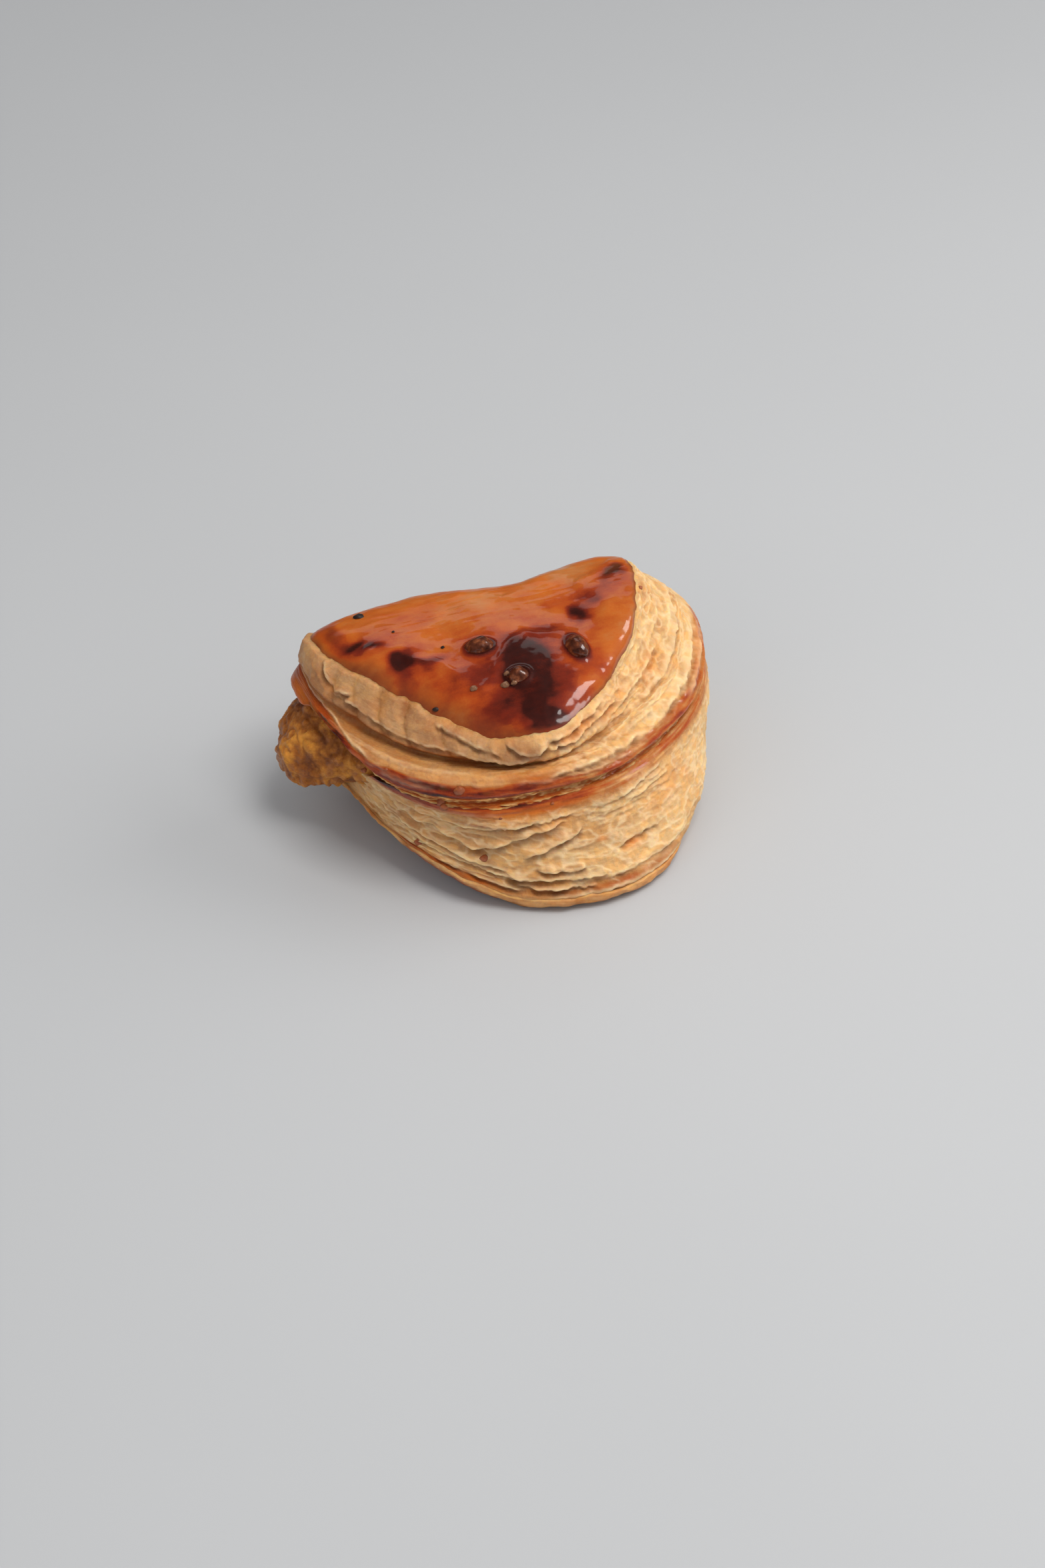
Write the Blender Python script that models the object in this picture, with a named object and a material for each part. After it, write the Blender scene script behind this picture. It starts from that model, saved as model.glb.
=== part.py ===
"""A turnover: a half-moon of puff pastry folded over its filling, which runs out at the left end.

Sizes are in millimetres and meshes in metres. +X runs along the straight fold, +Y points to the fold, -Y to
the curved cut edge and +Z up. The origin is the middle of the footprint, on the table. Places are measured
from one upright axis near the fold. The pastry is lofted through courses, closed half-moons about that
axis, from the glazed dome down over the two cut edges to the base. The filling is a sweep of rounded
sections along the fold's direction.
"""

import math
from collections import namedtuple

import bpy
import numpy as np

MM = 0.001
GAP = 0.3  # air kept between neighbouring solids

AXIS = (3.62, 23.55, 0.0)  # the upright axis, from the middle of the footprint
DOME_TOP = 53.6  # height of the dome on the axis

# The left end of the lower sheet has curled up off the table.
CURL_HEIGHT = 9.5
CURL_START = -15.0
CURL_RUN = 34.0

SEGMENTS = 98  # faces round a course
FOLD_ROUNDNESS = 4.0  # exponent of the half-moon's straight side
DOME_SWELL = 0.9  # height of the soft bumps that the oven raised in the dome
EDGE_WOBBLE = 0.7  # how far the courses stray from a true half-moon

# A course's reach from the axis to its left, right, front and back, then its heights at eight bearings:
# right, back right, back, back left, left, front left, front, front right. slip moves its front along X,
# blunt_left and blunt_right are the exponents of its front, curl is the share that it takes of the curled
# end's rise, and rows is the number of rows of faces that lead to it.
Course = namedtuple("Course", "left right front back heights slip blunt_left blunt_right curl rows")
CROWN = Course(26, 22, 22, 6, (53.5, 52.3, 53.0, 54.0, 54.3, 52.5, 52.5, 52.8), -3, 1.9, 1.9, 0, 3)
SHOULDER = Course(43.5, 36, 38, 12, (54.5, 47.2, 49.3, 51.5, 53.3, 49.0, 50.0, 51.0), -4, 1.6, 1.7, 0, 3)
GLAZE_EDGE = Course(51, 39.5, 46, 16, (51.0, 43.2, 44.8, 47.0, 49.3, 43.0, 45.0, 46.0), -5, 1.5, 1.6, 0, 3)
PLEATS_FOOT = Course(53, 42.5, 48, 17, (47.0, 39.5, 39.0, 41.0, 44.5, 39.5, 39.0, 43.0), -4, 1.6, 1.7, 0, 2)
CREASE = Course(53.5, 46, 43.5, 17.5, (44.0, 36.5, 35.5, 38.0, 42.0, 36.5, 35.7, 40.5), -3, 1.7, 2.1, 0, 2)
UPPER_LIP = Course(55, 50, 50.5, 18, (40.0, 33.0, 32.0, 35.0, 40.0, 37.5, 36.7, 38.0), -2, 2.1, 1.8, 0, 2)
UPPER_RIDGE = Course(56.5, 55, 53.5, 18, (34.5, 29.5, 28.0, 31.0, 37.5, 33.5, 33.5, 33.5), 0, 2.3, 1.8, 0, 2)
SEAM_GROOVE = Course(54.5, 53.5, 51, 18, (32.0, 27.0, 25.5, 28.0, 34.5, 31.0, 31.0, 31.0), 0, 2.3, 1.8, 0, 1)
LOWER_RIDGE = Course(51.5, 55.3, 55, 18, (29.5, 24.5, 22.5, 25.0, 30.0, 28.5, 28.5, 28.5), 0, 2.3, 1.8, 0, 1)
BELLY = Course(49, 55, 57.5, 17, (20.0, 16.0, 14.0, 16.0, 20.0, 20.0, 20.0, 20.0), 1, 2.1, 1.85, 0.2, 3)
FOOT = Course(48.5, 50.5, 62.0, 15, (9.0, 7.0, 6.0, 7.0, 9.0, 9.0, 9.0, 9.0), 2.5, 2.1, 2.1, 0.6, 3)
CRUST_RIM = Course(49.0, 41.5, 64.9, 12, (3.0, 2.2, 2.0, 2.2, 3.0, 3.2, 3.0, 3.0), 3, 2.1, 2.25, 1, 2)
UNDERSIDE = Course(46, 39.5, 62.0, 9, (0, 0, 0, 0, 0, 0, 0, 0), 3, 2.1, 2.25, 1, 1)
DOME = (CROWN, SHOULDER, GLAZE_EDGE)
UPPER_SHEET = (PLEATS_FOOT, CREASE, UPPER_LIP, UPPER_RIDGE)
LOWER_SHEET = (SEAM_GROOVE, LOWER_RIDGE, BELLY, FOOT, CRUST_RIM, UNDERSIDE)
COURSES = DOME + UPPER_SHEET + LOWER_SHEET
UNDERSIDE_MIDDLE = (0.0, -16.0, 0.0)
UNDERSIDE_ROWS = 3

# The filling's sections, from its end inside the pastry to the lump that hangs out of the left end:
# where along X, then middle in Y and Z, half width in Y and half height in Z.
FILLING_SECTIONS = (
    (34.5, -9.0, 27.0, 4.0, 2.5),
    (20.5, -14.0, 27.5, 16.0, 6.5),
    (0.5, -16.0, 27.0, 22.0, 8.5),
    (-21.5, -14.0, 26.5, 21.0, 9.0),
    (-39.5, -8.0, 26.0, 17.5, 9.0),
    (-48.5, -3.0, 24.5, 16.0, 10.0),
    (-54.0, -1.5, 22.5, 13.0, 10.8),
    (-58.8, -1.0, 19.5, 10.0, 8.6),
    (-61.8, -1.0, 18.5, 5.2, 4.8),
)
FILLING_RINGS = 30
FILLING_SEGMENTS = 30
FILLING_ROUNDNESS = 2.4
FILLING_LUMPS = 0.8

# Nuts sunk in the glaze: name, place in X and Y, then half length, half width and half height.
NUTS = (
    ("nut_left", -12.2, -16.4, 3.5, 2.8, 2.7),
    ("nut_right", 11.1, -24.8, 2.6, 3.8, 2.4),
    ("nut_front", -6.9, -29.6, 2.7, 2.4, 2.3),
)
NUT_SUNK = 0.9  # how far a nut's middle lies below the glaze
NUT_RINGS = 8
NUT_SEGMENTS = 14


def clear_scene():
    for thing in list(bpy.data.objects):
        bpy.data.objects.remove(thing, do_unlink=True)


def smooth_step(value):
    t = np.clip(value, 0.0, 1.0)
    return t * t * (3.0 - 2.0 * t)


def round_the_ring(values, theta):
    """A smooth closed curve through equally spaced values: cubic Hermite with Catmull-Rom slopes."""
    values = np.asarray(values, float)
    count = len(values)
    place = np.mod(theta, 2.0 * np.pi) / (2.0 * np.pi) * count
    low = np.floor(place).astype(int) % count
    t = place - np.floor(place)
    here, there = values[low], values[(low + 1) % count]
    slope_here = (there - values[low - 1]) / 2.0
    slope_there = (values[(low + 2) % count] - here) / 2.0
    return (
        here * (1 + 2 * t) * (1 - t) ** 2
        + there * t * t * (3 - 2 * t)
        + slope_here * t * (1 - t) ** 2
        - slope_there * t * t * (1 - t)
    )


def curl(x):
    """How far the table side of the pastry stands off the table at this x."""
    return CURL_HEIGHT * smooth_step((CURL_START - x) / CURL_RUN)


def course_points(course, theta):
    """One closed course: a half-moon from two superellipses, with its height smoothed round it."""
    cosine, sine = np.cos(theta), np.sin(theta)
    reach_x = np.where(cosine > 0, course.right, course.left)
    reach_y = np.where(sine > 0, course.back, course.front)
    to_right = 0.5 + 0.5 * np.clip(cosine / 0.35, -1.0, 1.0)
    blunt = course.blunt_left + (course.blunt_right - course.blunt_left) * to_right
    power = np.where(sine > 0, FOLD_ROUNDNESS, blunt)
    radius = ((np.abs(cosine) / reach_x) ** power + (np.abs(sine) / reach_y) ** power) ** (-1.0 / power)
    x, y = radius * cosine, radius * sine
    x = x + course.slip * np.clip(-y / course.front, 0.0, 1.0)
    z = round_the_ring(course.heights, theta) + course.curl * curl(x)
    return np.stack([x, y, z], axis=-1)


def through_courses(rings, rows):
    """Rows of points on a smooth section through the courses, rows[i] of them ending at course i + 1."""
    first = 2 * rings[0] - rings[1]
    last = 2 * rings[-1] - rings[-2]
    padded = np.concatenate([first[None], rings, last[None]])
    out = [rings[0]]
    for i, count in enumerate(rows):
        before, here, there, after = padded[i : i + 4]
        for t in np.arange(1, count + 1) / count:
            out.append(
                here * (1 + 2 * t) * (1 - t) ** 2
                + there * t * t * (3 - 2 * t)
                + (there - before) / 2 * t * (1 - t) ** 2
                - (after - here) / 2 * t * t * (1 - t)
            )
    return np.array(out)


def swell(x, y):
    """Soft bumps of the dome: three crossing waves of about 30 mm."""
    return (
        np.sin(0.21 * x + 0.10 * y + 3.64)
        + np.sin(-0.12 * x + 0.24 * y + 0.92)
        + np.sin(0.17 * x - 0.19 * y + 0.22)
    ) / 3.0


def wobble(theta, z):
    """How far the outline strays outwards, of size 1: waves that change with the height."""
    return (
        np.sin(3 * theta + 0.05 * z + 0.4) + np.sin(5 * theta - 0.11 * z + 1.9) + np.sin(8 * theta + 0.2 * z)
    ) / 3.0


def pastry_rows():
    """The pastry's skin as rows of points, from just under the dome's top to the middle of the underside."""
    theta = np.arange(SEGMENTS) * 2.0 * np.pi / SEGMENTS
    rings = np.array([course_points(course, theta) for course in COURSES])
    top = np.broadcast_to((0.0, 0.0, DOME_TOP), rings[0].shape)
    rows = through_courses(np.concatenate([top[None], rings]), [course.rows for course in COURSES])
    edge = rows[-1]
    middle = np.array(UNDERSIDE_MIDDLE)
    shares = np.arange(1, UNDERSIDE_ROWS + 1) / UNDERSIDE_ROWS
    under = np.array([edge + (middle - edge) * share for share in shares])
    under[..., 2] = curl(under[..., 0])
    rows = np.concatenate([rows, under])
    outward = rows[..., :2].copy()
    distance = np.linalg.norm(outward, axis=-1, keepdims=True)
    at_rim = smooth_step((distance[..., 0] - 20.0) / 20.0) * smooth_step(rows[..., 2] / 3.0)
    strays = EDGE_WOBBLE * at_rim * wobble(theta[None], rows[..., 2])
    rows[..., :2] += outward / np.maximum(distance, 1.0) * strays[..., None]
    rows[..., 2] += DOME_SWELL * swell(rows[..., 0], rows[..., 1]) * smooth_step((rows[..., 2] - 38.0) / 8.0)
    return rows


def lump(phase, along):
    """Lumps on the filling, of size 1: waves round it and along it."""
    return (
        np.sin(3 * phase + 0.24 * along + 0.8) + np.sin(5 * phase - 0.37 * along) + np.sin(2 * phase + 0.6 * along + 2.1)
    ) / 3.0


def filling_rows():
    """The filling's skin as rows of points: rounded sections carried along X from its inner end."""
    sections = np.array(FILLING_SECTIONS)
    place = np.linspace(0.0, len(sections) - 1.0, FILLING_RINGS)
    low = np.minimum(place.astype(int), len(sections) - 2)
    t = (place - low)[:, None]
    padded = np.concatenate([[2 * sections[0] - sections[1]], sections, [2 * sections[-1] - sections[-2]]])
    before, here, there, after = (padded[low + step] for step in range(4))
    x, y, z, wide, high = (
        here * (1 + 2 * t) * (1 - t) ** 2
        + there * t * t * (3 - 2 * t)
        + (there - before) / 2 * t * (1 - t) ** 2
        - (after - here) / 2 * t * t * (1 - t)
    ).T[:, :, None]
    phase = np.arange(FILLING_SEGMENTS)[None] * 2.0 * np.pi / FILLING_SEGMENTS
    cosine, sine = np.cos(phase), np.sin(phase)
    radius = (np.abs(cosine) ** FILLING_ROUNDNESS + np.abs(sine) ** FILLING_ROUNDNESS) ** (-1.0 / FILLING_ROUNDNESS)
    radius = radius * (1.0 + FILLING_LUMPS * lump(phase, x) / 12.0)
    rows = np.stack([x + 0 * phase, y + wide * radius * cosine, z + high * radius * sine], axis=-1)
    return rows


def closed_mesh(name, rows, first_pole, last_pole):
    """A closed skin over rows of points, with a fan of triangles to a pole at each end, facing out."""
    count, around = rows.shape[:2]
    points = (np.concatenate([[first_pole], rows.reshape(-1, 3), [last_pole]]) + AXIS) * MM
    end = count * around + 1
    faces = []
    for j in range(around):
        k = (j + 1) % around
        faces.append((0, 1 + j, 1 + k))
        for i in range(count - 1):
            low, high = 1 + i * around, 1 + (i + 1) * around
            faces.append((low + j, high + j, high + k, low + k))
        faces.append((end - around + k, end - around + j, end))
    mesh = bpy.data.meshes.new(name)
    mesh.from_pydata(points.tolist(), [], faces)
    mesh.validate()
    mesh.shade_smooth()
    return mesh


def add_object(name, mesh, material=None):
    thing = bpy.data.objects.new(name, mesh)
    bpy.context.scene.collection.objects.link(thing)
    if material:
        mesh.materials.append(material)
    return thing


def food_material(name, colour, roughness):
    material = bpy.data.materials.new(name)
    material.use_nodes = True
    shader = material.node_tree.nodes["Principled BSDF"]
    shader.inputs["Base Color"].default_value = (*colour, 1.0)
    shader.inputs["Roughness"].default_value = roughness
    shader.inputs["Metallic"].default_value = 0.0
    return material


def add_cutter(thing):
    """A hidden copy of this piece, grown by the gap along its normals, that makes room for it."""
    mesh = thing.data.copy()
    mesh.name = thing.name + "_cutter"
    points = np.empty(len(mesh.vertices) * 3, np.float32)
    normals = np.empty(len(mesh.vertices) * 3, np.float32)
    mesh.vertices.foreach_get("co", points)
    mesh.vertex_normals.foreach_get("vector", normals)
    mesh.vertices.foreach_set("co", points + normals * GAP * MM)
    mesh.update()
    cutter = add_object(mesh.name, mesh)
    cutter.hide_render = True
    cutter.display_type = "WIRE"
    return cutter


def make_room(pastry, thing):
    cut = pastry.modifiers.new("room for " + thing.name, "BOOLEAN")
    cut.operation = "DIFFERENCE"
    cut.solver = "EXACT"
    cut.object = add_cutter(thing)


def add_pastry():
    rows = pastry_rows()
    inner = rows[1:-1]
    mesh = closed_mesh("pastry", inner, rows[0, 0], rows[-1, 0])
    return add_object("pastry", mesh, food_material("baked pastry", (0.66, 0.40, 0.17), 0.45))


def add_filling():
    rows = filling_rows()
    mesh = closed_mesh("filling", rows, rows[0].mean(axis=0) + (1.0, 0, 0), rows[-1].mean(axis=0) - (0.8, 0, 0))
    return add_object("filling", mesh, food_material("baked filling", (0.48, 0.27, 0.06), 0.5))


def dome_height(rows, x, y):
    """The height of the dome over this place, from the nearest points of its skin."""
    dome = rows[: sum(course.rows for course in DOME) + 1].reshape(-1, 3)
    distance = np.hypot(dome[:, 0] - x, dome[:, 1] - y)
    near = np.argsort(distance)[:6]
    weight = 1.0 / (distance[near] + 0.1) ** 2
    return float((dome[near, 2] * weight).sum() / weight.sum())


def add_nut(rows, name, x, y, half_length, half_width, half_height):
    """An uneven bead with its poles at its left and right ends."""
    z = dome_height(rows, x, y) - NUT_SUNK
    middle = np.array((x, y, z))
    along = np.linspace(0.0, np.pi, NUT_RINGS + 2)[1:-1, None]
    phase = np.arange(NUT_SEGMENTS)[None] * 2.0 * np.pi / NUT_SEGMENTS
    dent = 1.0 + 0.07 * np.sin(2 * phase + 3 * along + x)
    skin = np.stack(
        [
            half_length * np.cos(along) + 0 * phase,
            half_width * np.sin(along) * np.cos(phase) * dent,
            half_height * np.sin(along) * np.sin(phase) * dent,
        ],
        axis=-1,
    )
    mesh = closed_mesh(name, middle + skin, middle + (half_length, 0, 0), middle - (half_length, 0, 0))
    return add_object(name, mesh, food_material("glazed nut", (0.18, 0.05, 0.02), 0.3))


def build():
    clear_scene()
    pastry = add_pastry()
    make_room(pastry, add_filling())
    rows = pastry_rows()
    for nut in NUTS:
        make_room(pastry, add_nut(rows, *nut))


build()
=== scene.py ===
"""The looks of a baked turnover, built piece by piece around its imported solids.

Sizes are in millimetres and meshes in metres, in the part's own frame: +X runs along the straight fold, -Y to
the curved cut edge and +Z up. A place on the dough is a bearing, in degrees about the upright axis near the
fold (0 at the right end, 180 at the left end, 270 at the front), and a level, which counts the courses down
from the top of the dome (3 is the edge of the glaze, 8 the groove of the seam, 12 the rim of the base).
"""

import math
from collections import namedtuple
from itertools import product

import bpy
import numpy as np
from mathutils import Matrix, Vector


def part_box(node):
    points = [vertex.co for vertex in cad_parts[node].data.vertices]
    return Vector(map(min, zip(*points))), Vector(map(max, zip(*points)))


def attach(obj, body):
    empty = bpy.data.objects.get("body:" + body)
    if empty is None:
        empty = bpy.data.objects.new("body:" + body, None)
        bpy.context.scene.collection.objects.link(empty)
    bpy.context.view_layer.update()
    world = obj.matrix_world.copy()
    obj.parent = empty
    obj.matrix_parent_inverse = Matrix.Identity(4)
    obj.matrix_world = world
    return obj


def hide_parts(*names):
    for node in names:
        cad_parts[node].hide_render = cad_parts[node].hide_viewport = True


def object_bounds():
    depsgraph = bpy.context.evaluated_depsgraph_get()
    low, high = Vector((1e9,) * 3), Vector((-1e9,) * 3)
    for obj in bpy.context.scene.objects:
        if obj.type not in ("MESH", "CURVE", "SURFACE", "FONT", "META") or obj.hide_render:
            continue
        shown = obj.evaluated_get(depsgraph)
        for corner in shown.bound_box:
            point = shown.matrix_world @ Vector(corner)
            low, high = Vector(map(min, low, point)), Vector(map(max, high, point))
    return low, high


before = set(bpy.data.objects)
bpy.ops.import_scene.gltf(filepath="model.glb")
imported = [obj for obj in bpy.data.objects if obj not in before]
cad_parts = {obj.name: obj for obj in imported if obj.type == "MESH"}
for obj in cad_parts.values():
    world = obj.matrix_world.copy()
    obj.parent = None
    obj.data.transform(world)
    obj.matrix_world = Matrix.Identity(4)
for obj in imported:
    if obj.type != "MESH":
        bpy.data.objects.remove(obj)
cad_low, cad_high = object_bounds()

# ---- The table, the light and the camera ---------------------------------------------------------------
# A pale matt table top, one soft light high at the right, a wide weak one in front, two soft boxes that only
# what shines mirrors, and a grey room.
# The camera looks down at the curved edge from the left of its middle.

MM = 0.001
middle = (cad_low + cad_high) / 2
middle.z = 0.0


def from_degrees(azimuth, elevation):
    """The unit vector to this azimuth (0 is -Y, 90 is +X) and elevation."""
    a, e = math.radians(azimuth), math.radians(elevation)
    return Vector((math.sin(a) * math.cos(e), -math.cos(a) * math.cos(e), math.sin(e)))


def linear(red, green, blue):
    """A colour given in the 0 to 255 of a paint chart, as the linear colour that a shader takes."""
    chart = np.array((red, green, blue)) / 255.0
    return (*np.where(chart < 0.04045, chart / 12.92, ((chart + 0.055) / 1.055) ** 2.4).tolist(), 1.0)


class Value:
    """A shader socket that takes part in sums: every operator adds one Math node to its material."""

    def __init__(self, finish, socket):
        self.finish, self.socket = finish, socket

    def math(self, operation, *others, clamp=False):
        settings = {"operation": operation, "use_clamp": clamp}
        return self.finish.node("Math", settings, inputs=(self, *others))

    def __add__(self, other):
        return self.math("ADD", other)

    def __sub__(self, other):
        return self.math("SUBTRACT", other)

    def __rsub__(self, other):
        return self.finish.node("Math", {"operation": "SUBTRACT"}, inputs=(other, self))

    def __mul__(self, other):
        return self.math("MULTIPLY", other)

    def __truediv__(self, other):
        return self.math("DIVIDE", other)

    def __pow__(self, other):
        return self.math("POWER", other)

    __radd__ = __add__
    __rmul__ = __mul__

    def clamped(self):
        return self.math("ADD", 0.0, clamp=True)

    def step(self, low, high):
        """0 below low and 1 above high, with a smooth rise between."""
        settings = {"interpolation_type": "SMOOTHSTEP"}
        return self.finish.node("MapRange", settings, inputs=(self, low, high, 0.0, 1.0))


class Finish:
    """One material: a Principled shader, and node(), which adds any other node to its tree."""

    def __init__(self, name, **sockets):
        self.material = bpy.data.materials.new(name)
        self.material.use_nodes = True
        self.tree = self.material.node_tree
        self.shader = self.tree.nodes["Principled BSDF"]
        for socket, value in sockets.items():
            self.shader.inputs[socket.replace("_", " ")].default_value = value

    def node(self, kind, settings=None, inputs=(), output=0):
        """A node of this kind: its settings first, then its sockets, by place or name, then one output as a Value."""
        made = self.tree.nodes.new("ShaderNode" + kind)
        for key, value in (settings or {}).items():
            if key == "stops":
                self.set_stops(made.color_ramp, value)
            else:
                setattr(made, key, value)
        pairs = inputs.items() if isinstance(inputs, dict) else enumerate(inputs)
        for key, value in pairs:
            self.feed(made.inputs[key], value)
        return Value(self, made.outputs[output])

    def set_stops(self, ramp, stops):
        while len(ramp.elements) < len(stops):
            ramp.elements.new(0.5)
        for element, (place, colour) in zip(ramp.elements, stops):
            element.position = place
            element.color = colour

    def feed(self, socket, value):
        if isinstance(value, Value):
            self.tree.links.new(value.socket, socket)
        else:
            socket.default_value = value

    def mix(self, factor, first, second, blend="MIX"):
        """Two colours mixed by a factor."""
        settings = {"data_type": "RGBA", "blend_type": blend, "clamp_factor": True}
        return self.node("Mix", settings, {0: factor, 6: first, 7: second}, output=2)

    def attribute(self, name, output="Fac"):
        return self.node("Attribute", {"attribute_name": name}, output=output)

    def place(self):
        return self.node("TexCoord", output="Object")

    def noise(self, vector, size, detail=3.0, roughness=0.55, **settings):
        """Noise of 0 to 1 whose lumps are about size millimetres across."""
        inputs = {"Vector": vector, "Scale": 1.0 / (size * MM), "Detail": detail, "Roughness": roughness}
        return self.node("TexNoise", settings, inputs)

    def stretched(self, vector, along, across, up):
        """The pattern's coordinates drawn out by these factors, so that its lumps become streaks."""
        scale = (1.0 / along, 1.0 / across, 1.0 / up)
        return self.node("Mapping", None, {"Vector": vector, "Scale": scale})

    def bump(self, height, strength, distance_mm, below=None):
        inputs = {"Height": height, "Strength": strength, "Distance": distance_mm * MM}
        if below is not None:
            inputs["Normal"] = below
        return self.node("Bump", None, inputs)

    def paint(self, socket, value):
        self.feed(self.shader.inputs[socket], value)


TABLE_REACH = 2500.0
TABLE_RINGS = 24
TABLE_SEGMENTS = 96


def table_top():
    """A flat disc: a grid of angle and radius, whose radius grows as the square of the row."""
    angle = np.linspace(0, 2 * np.pi, TABLE_SEGMENTS, endpoint=False)
    radius = TABLE_REACH * (np.arange(1, TABLE_RINGS + 1) / TABLE_RINGS) ** 2
    x, y = np.outer(radius, np.cos(angle)), np.outer(radius, np.sin(angle))
    points = np.stack([x, y, np.zeros_like(x)], axis=-1).reshape(-1, 3)
    index = np.arange(TABLE_RINGS * TABLE_SEGMENTS).reshape(TABLE_RINGS, TABLE_SEGMENTS)
    after = np.roll(index, -1, axis=1)
    quads = np.stack([index[:-1], index[1:], after[1:], after[:-1]], axis=-1).reshape(-1, 4)
    mesh = bpy.data.meshes.new("table_top")
    mesh.from_pydata((points * MM).tolist(), [], [index[0].tolist(), *quads.tolist()])
    return mesh


finish = Finish("pale table", Roughness=0.42, Specular_IOR_Level=0.35)
mottle = finish.noise(finish.place(), 260.0, detail=2.0)
finish.paint("Base Color", finish.mix(mottle, linear(179, 180, 181), linear(185, 186, 187)))
table = bpy.data.objects.new("table_top", table_top())
table.data.materials.append(finish.material)
bpy.context.scene.collection.objects.link(table)


def add_light(name, azimuth, elevation, distance, width, height, watts, colour, mirrored=True, lights=True):
    """A soft box that faces the pastry from this direction. It is mirrored by what shines, lights what is matt,
    or both."""
    light = bpy.data.lights.new(name, "AREA")
    light.shape = "RECTANGLE"
    light.size, light.size_y = width, height
    light.energy = watts
    light.color = colour
    lamp = bpy.data.objects.new(name, light)
    towards = from_degrees(azimuth, elevation)
    lamp.location = middle + towards * distance
    lamp.rotation_euler = towards.to_track_quat("Z", "Y").to_euler()
    lamp.visible_glossy = mirrored
    lamp.visible_diffuse = lights
    bpy.context.scene.collection.objects.link(lamp)


add_light("top light", 32, 70, 1.1, 0.5, 0.5, 7.2, (1.0, 0.985, 0.965), mirrored=False)
add_light("front light", -55, 33, 1.4, 1.2, 1.2, 3.2, (0.99, 0.99, 1.0), mirrored=False)
add_light("right light", 84, 30, 1.0, 0.8, 0.8, 5.4, (1.0, 0.99, 0.98), mirrored=False)
add_light("side mirror", 72, 40, 0.95, 0.34, 0.34, 2.8, (1.0, 0.97, 0.94), lights=False)
add_light("back mirror", 158, 38, 1.4, 1.0, 0.5, 1.2, (1.0, 0.99, 0.98), lights=False)

room = bpy.data.worlds.new("grey room")
room.use_nodes = True
room.node_tree.nodes["Background"].inputs["Color"].default_value = (0.96, 0.975, 1.0, 1.0)
room.node_tree.nodes["Background"].inputs["Strength"].default_value = 0.47
bpy.context.scene.world = room
room.cycles_visibility.glossy = False
bpy.context.scene.view_settings.view_transform = "Standard"

VIEW_AZIMUTH, VIEW_ELEVATION, VIEW_DISTANCE = -22.0, 40.0, 0.967
VIEW_CENTRE = Vector((-1.43, -4.06, 13.93)) * MM
camera = bpy.data.objects.new("camera", bpy.data.cameras.new("camera"))
camera.data.lens = 85.0
camera.data.sensor_width = 36.0
camera.data.clip_start = 0.05
back = from_degrees(VIEW_AZIMUTH, VIEW_ELEVATION)
camera.location = middle + VIEW_CENTRE + back * VIEW_DISTANCE
camera.rotation_euler = back.to_track_quat("Z", "Y").to_euler()
bpy.context.scene.collection.objects.link(camera)
bpy.context.scene.camera = camera


# ---- The lower leaves ----------------------------------------------------------------------------------
# The lower half of the folded sheet of puff pastry: a bulging wall of thin leaves between the seam and the
# base. It is lofted through the courses, and every leaf that sticks out is a step in the wall.

AXIS = np.array((middle.x / MM + 3.62, middle.y / MM + 23.55, 0.0))
DOME_TOP = 53.6
CURL_HEIGHT, CURL_START, CURL_RUN = 9.5, -15.0, 34.0
FOLD_ROUNDNESS = 4.0
DOME_SWELL = 0.9
EDGE_WOBBLE = 0.7

# Reach from the axis, heights at eight bearings from the right end round the back, slip of the front along X,
# exponents of the front and share of the curled end's rise: the same courses as the solid's.
Course = namedtuple("Course", "left right front back heights slip blunt_left blunt_right curl")
COURSES = (
    Course(26, 22, 22, 6, (53.5, 52.3, 53.0, 54.0, 54.3, 52.5, 52.5, 52.8), -3, 1.9, 1.9, 0),
    Course(43.5, 36, 38, 12, (54.5, 47.2, 49.3, 51.5, 53.3, 49.0, 50.0, 51.0), -4, 1.6, 1.7, 0),
    Course(51, 39.5, 46, 16, (51.0, 43.2, 44.8, 47.0, 49.3, 43.0, 45.0, 46.0), -5, 1.5, 1.6, 0),
    Course(53, 42.5, 48, 17, (47.0, 39.5, 39.0, 41.0, 44.5, 39.5, 39.0, 43.0), -4, 1.6, 1.7, 0),
    Course(53.5, 46, 43.5, 17.5, (44.0, 36.5, 35.5, 38.0, 42.0, 36.5, 35.7, 40.5), -3, 1.7, 2.1, 0),
    Course(55, 50, 50.5, 18, (40.0, 33.0, 32.0, 35.0, 40.0, 37.5, 36.7, 38.0), -2, 2.1, 1.8, 0),
    Course(56.5, 55, 53.5, 18, (34.5, 29.5, 28.0, 31.0, 37.5, 33.5, 33.5, 33.5), 0, 2.3, 1.8, 0),
    Course(54.5, 53.5, 51, 18, (32.0, 27.0, 25.5, 28.0, 34.5, 31.0, 31.0, 31.0), 0, 2.3, 1.8, 0),
    Course(51.5, 55.3, 55, 18, (29.5, 24.5, 22.5, 25.0, 30.0, 28.5, 28.5, 28.5), 0, 2.3, 1.8, 0),
    Course(49, 55, 57.5, 17, (20.0, 16.0, 14.0, 16.0, 20.0, 20.0, 20.0, 20.0), 1, 2.1, 1.85, 0.2),
    Course(48.5, 50.5, 62.0, 15, (9.0, 7.0, 6.0, 7.0, 9.0, 9.0, 9.0, 9.0), 2.5, 2.1, 2.1, 0.6),
    Course(49.0, 41.5, 64.9, 12, (3.0, 2.2, 2.0, 2.2, 3.0, 3.2, 3.0, 3.0), 3, 2.1, 2.25, 1),
    Course(46, 39.5, 62.0, 9, (0, 0, 0, 0, 0, 0, 0, 0), 3, 2.1, 2.25, 1),
)
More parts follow.
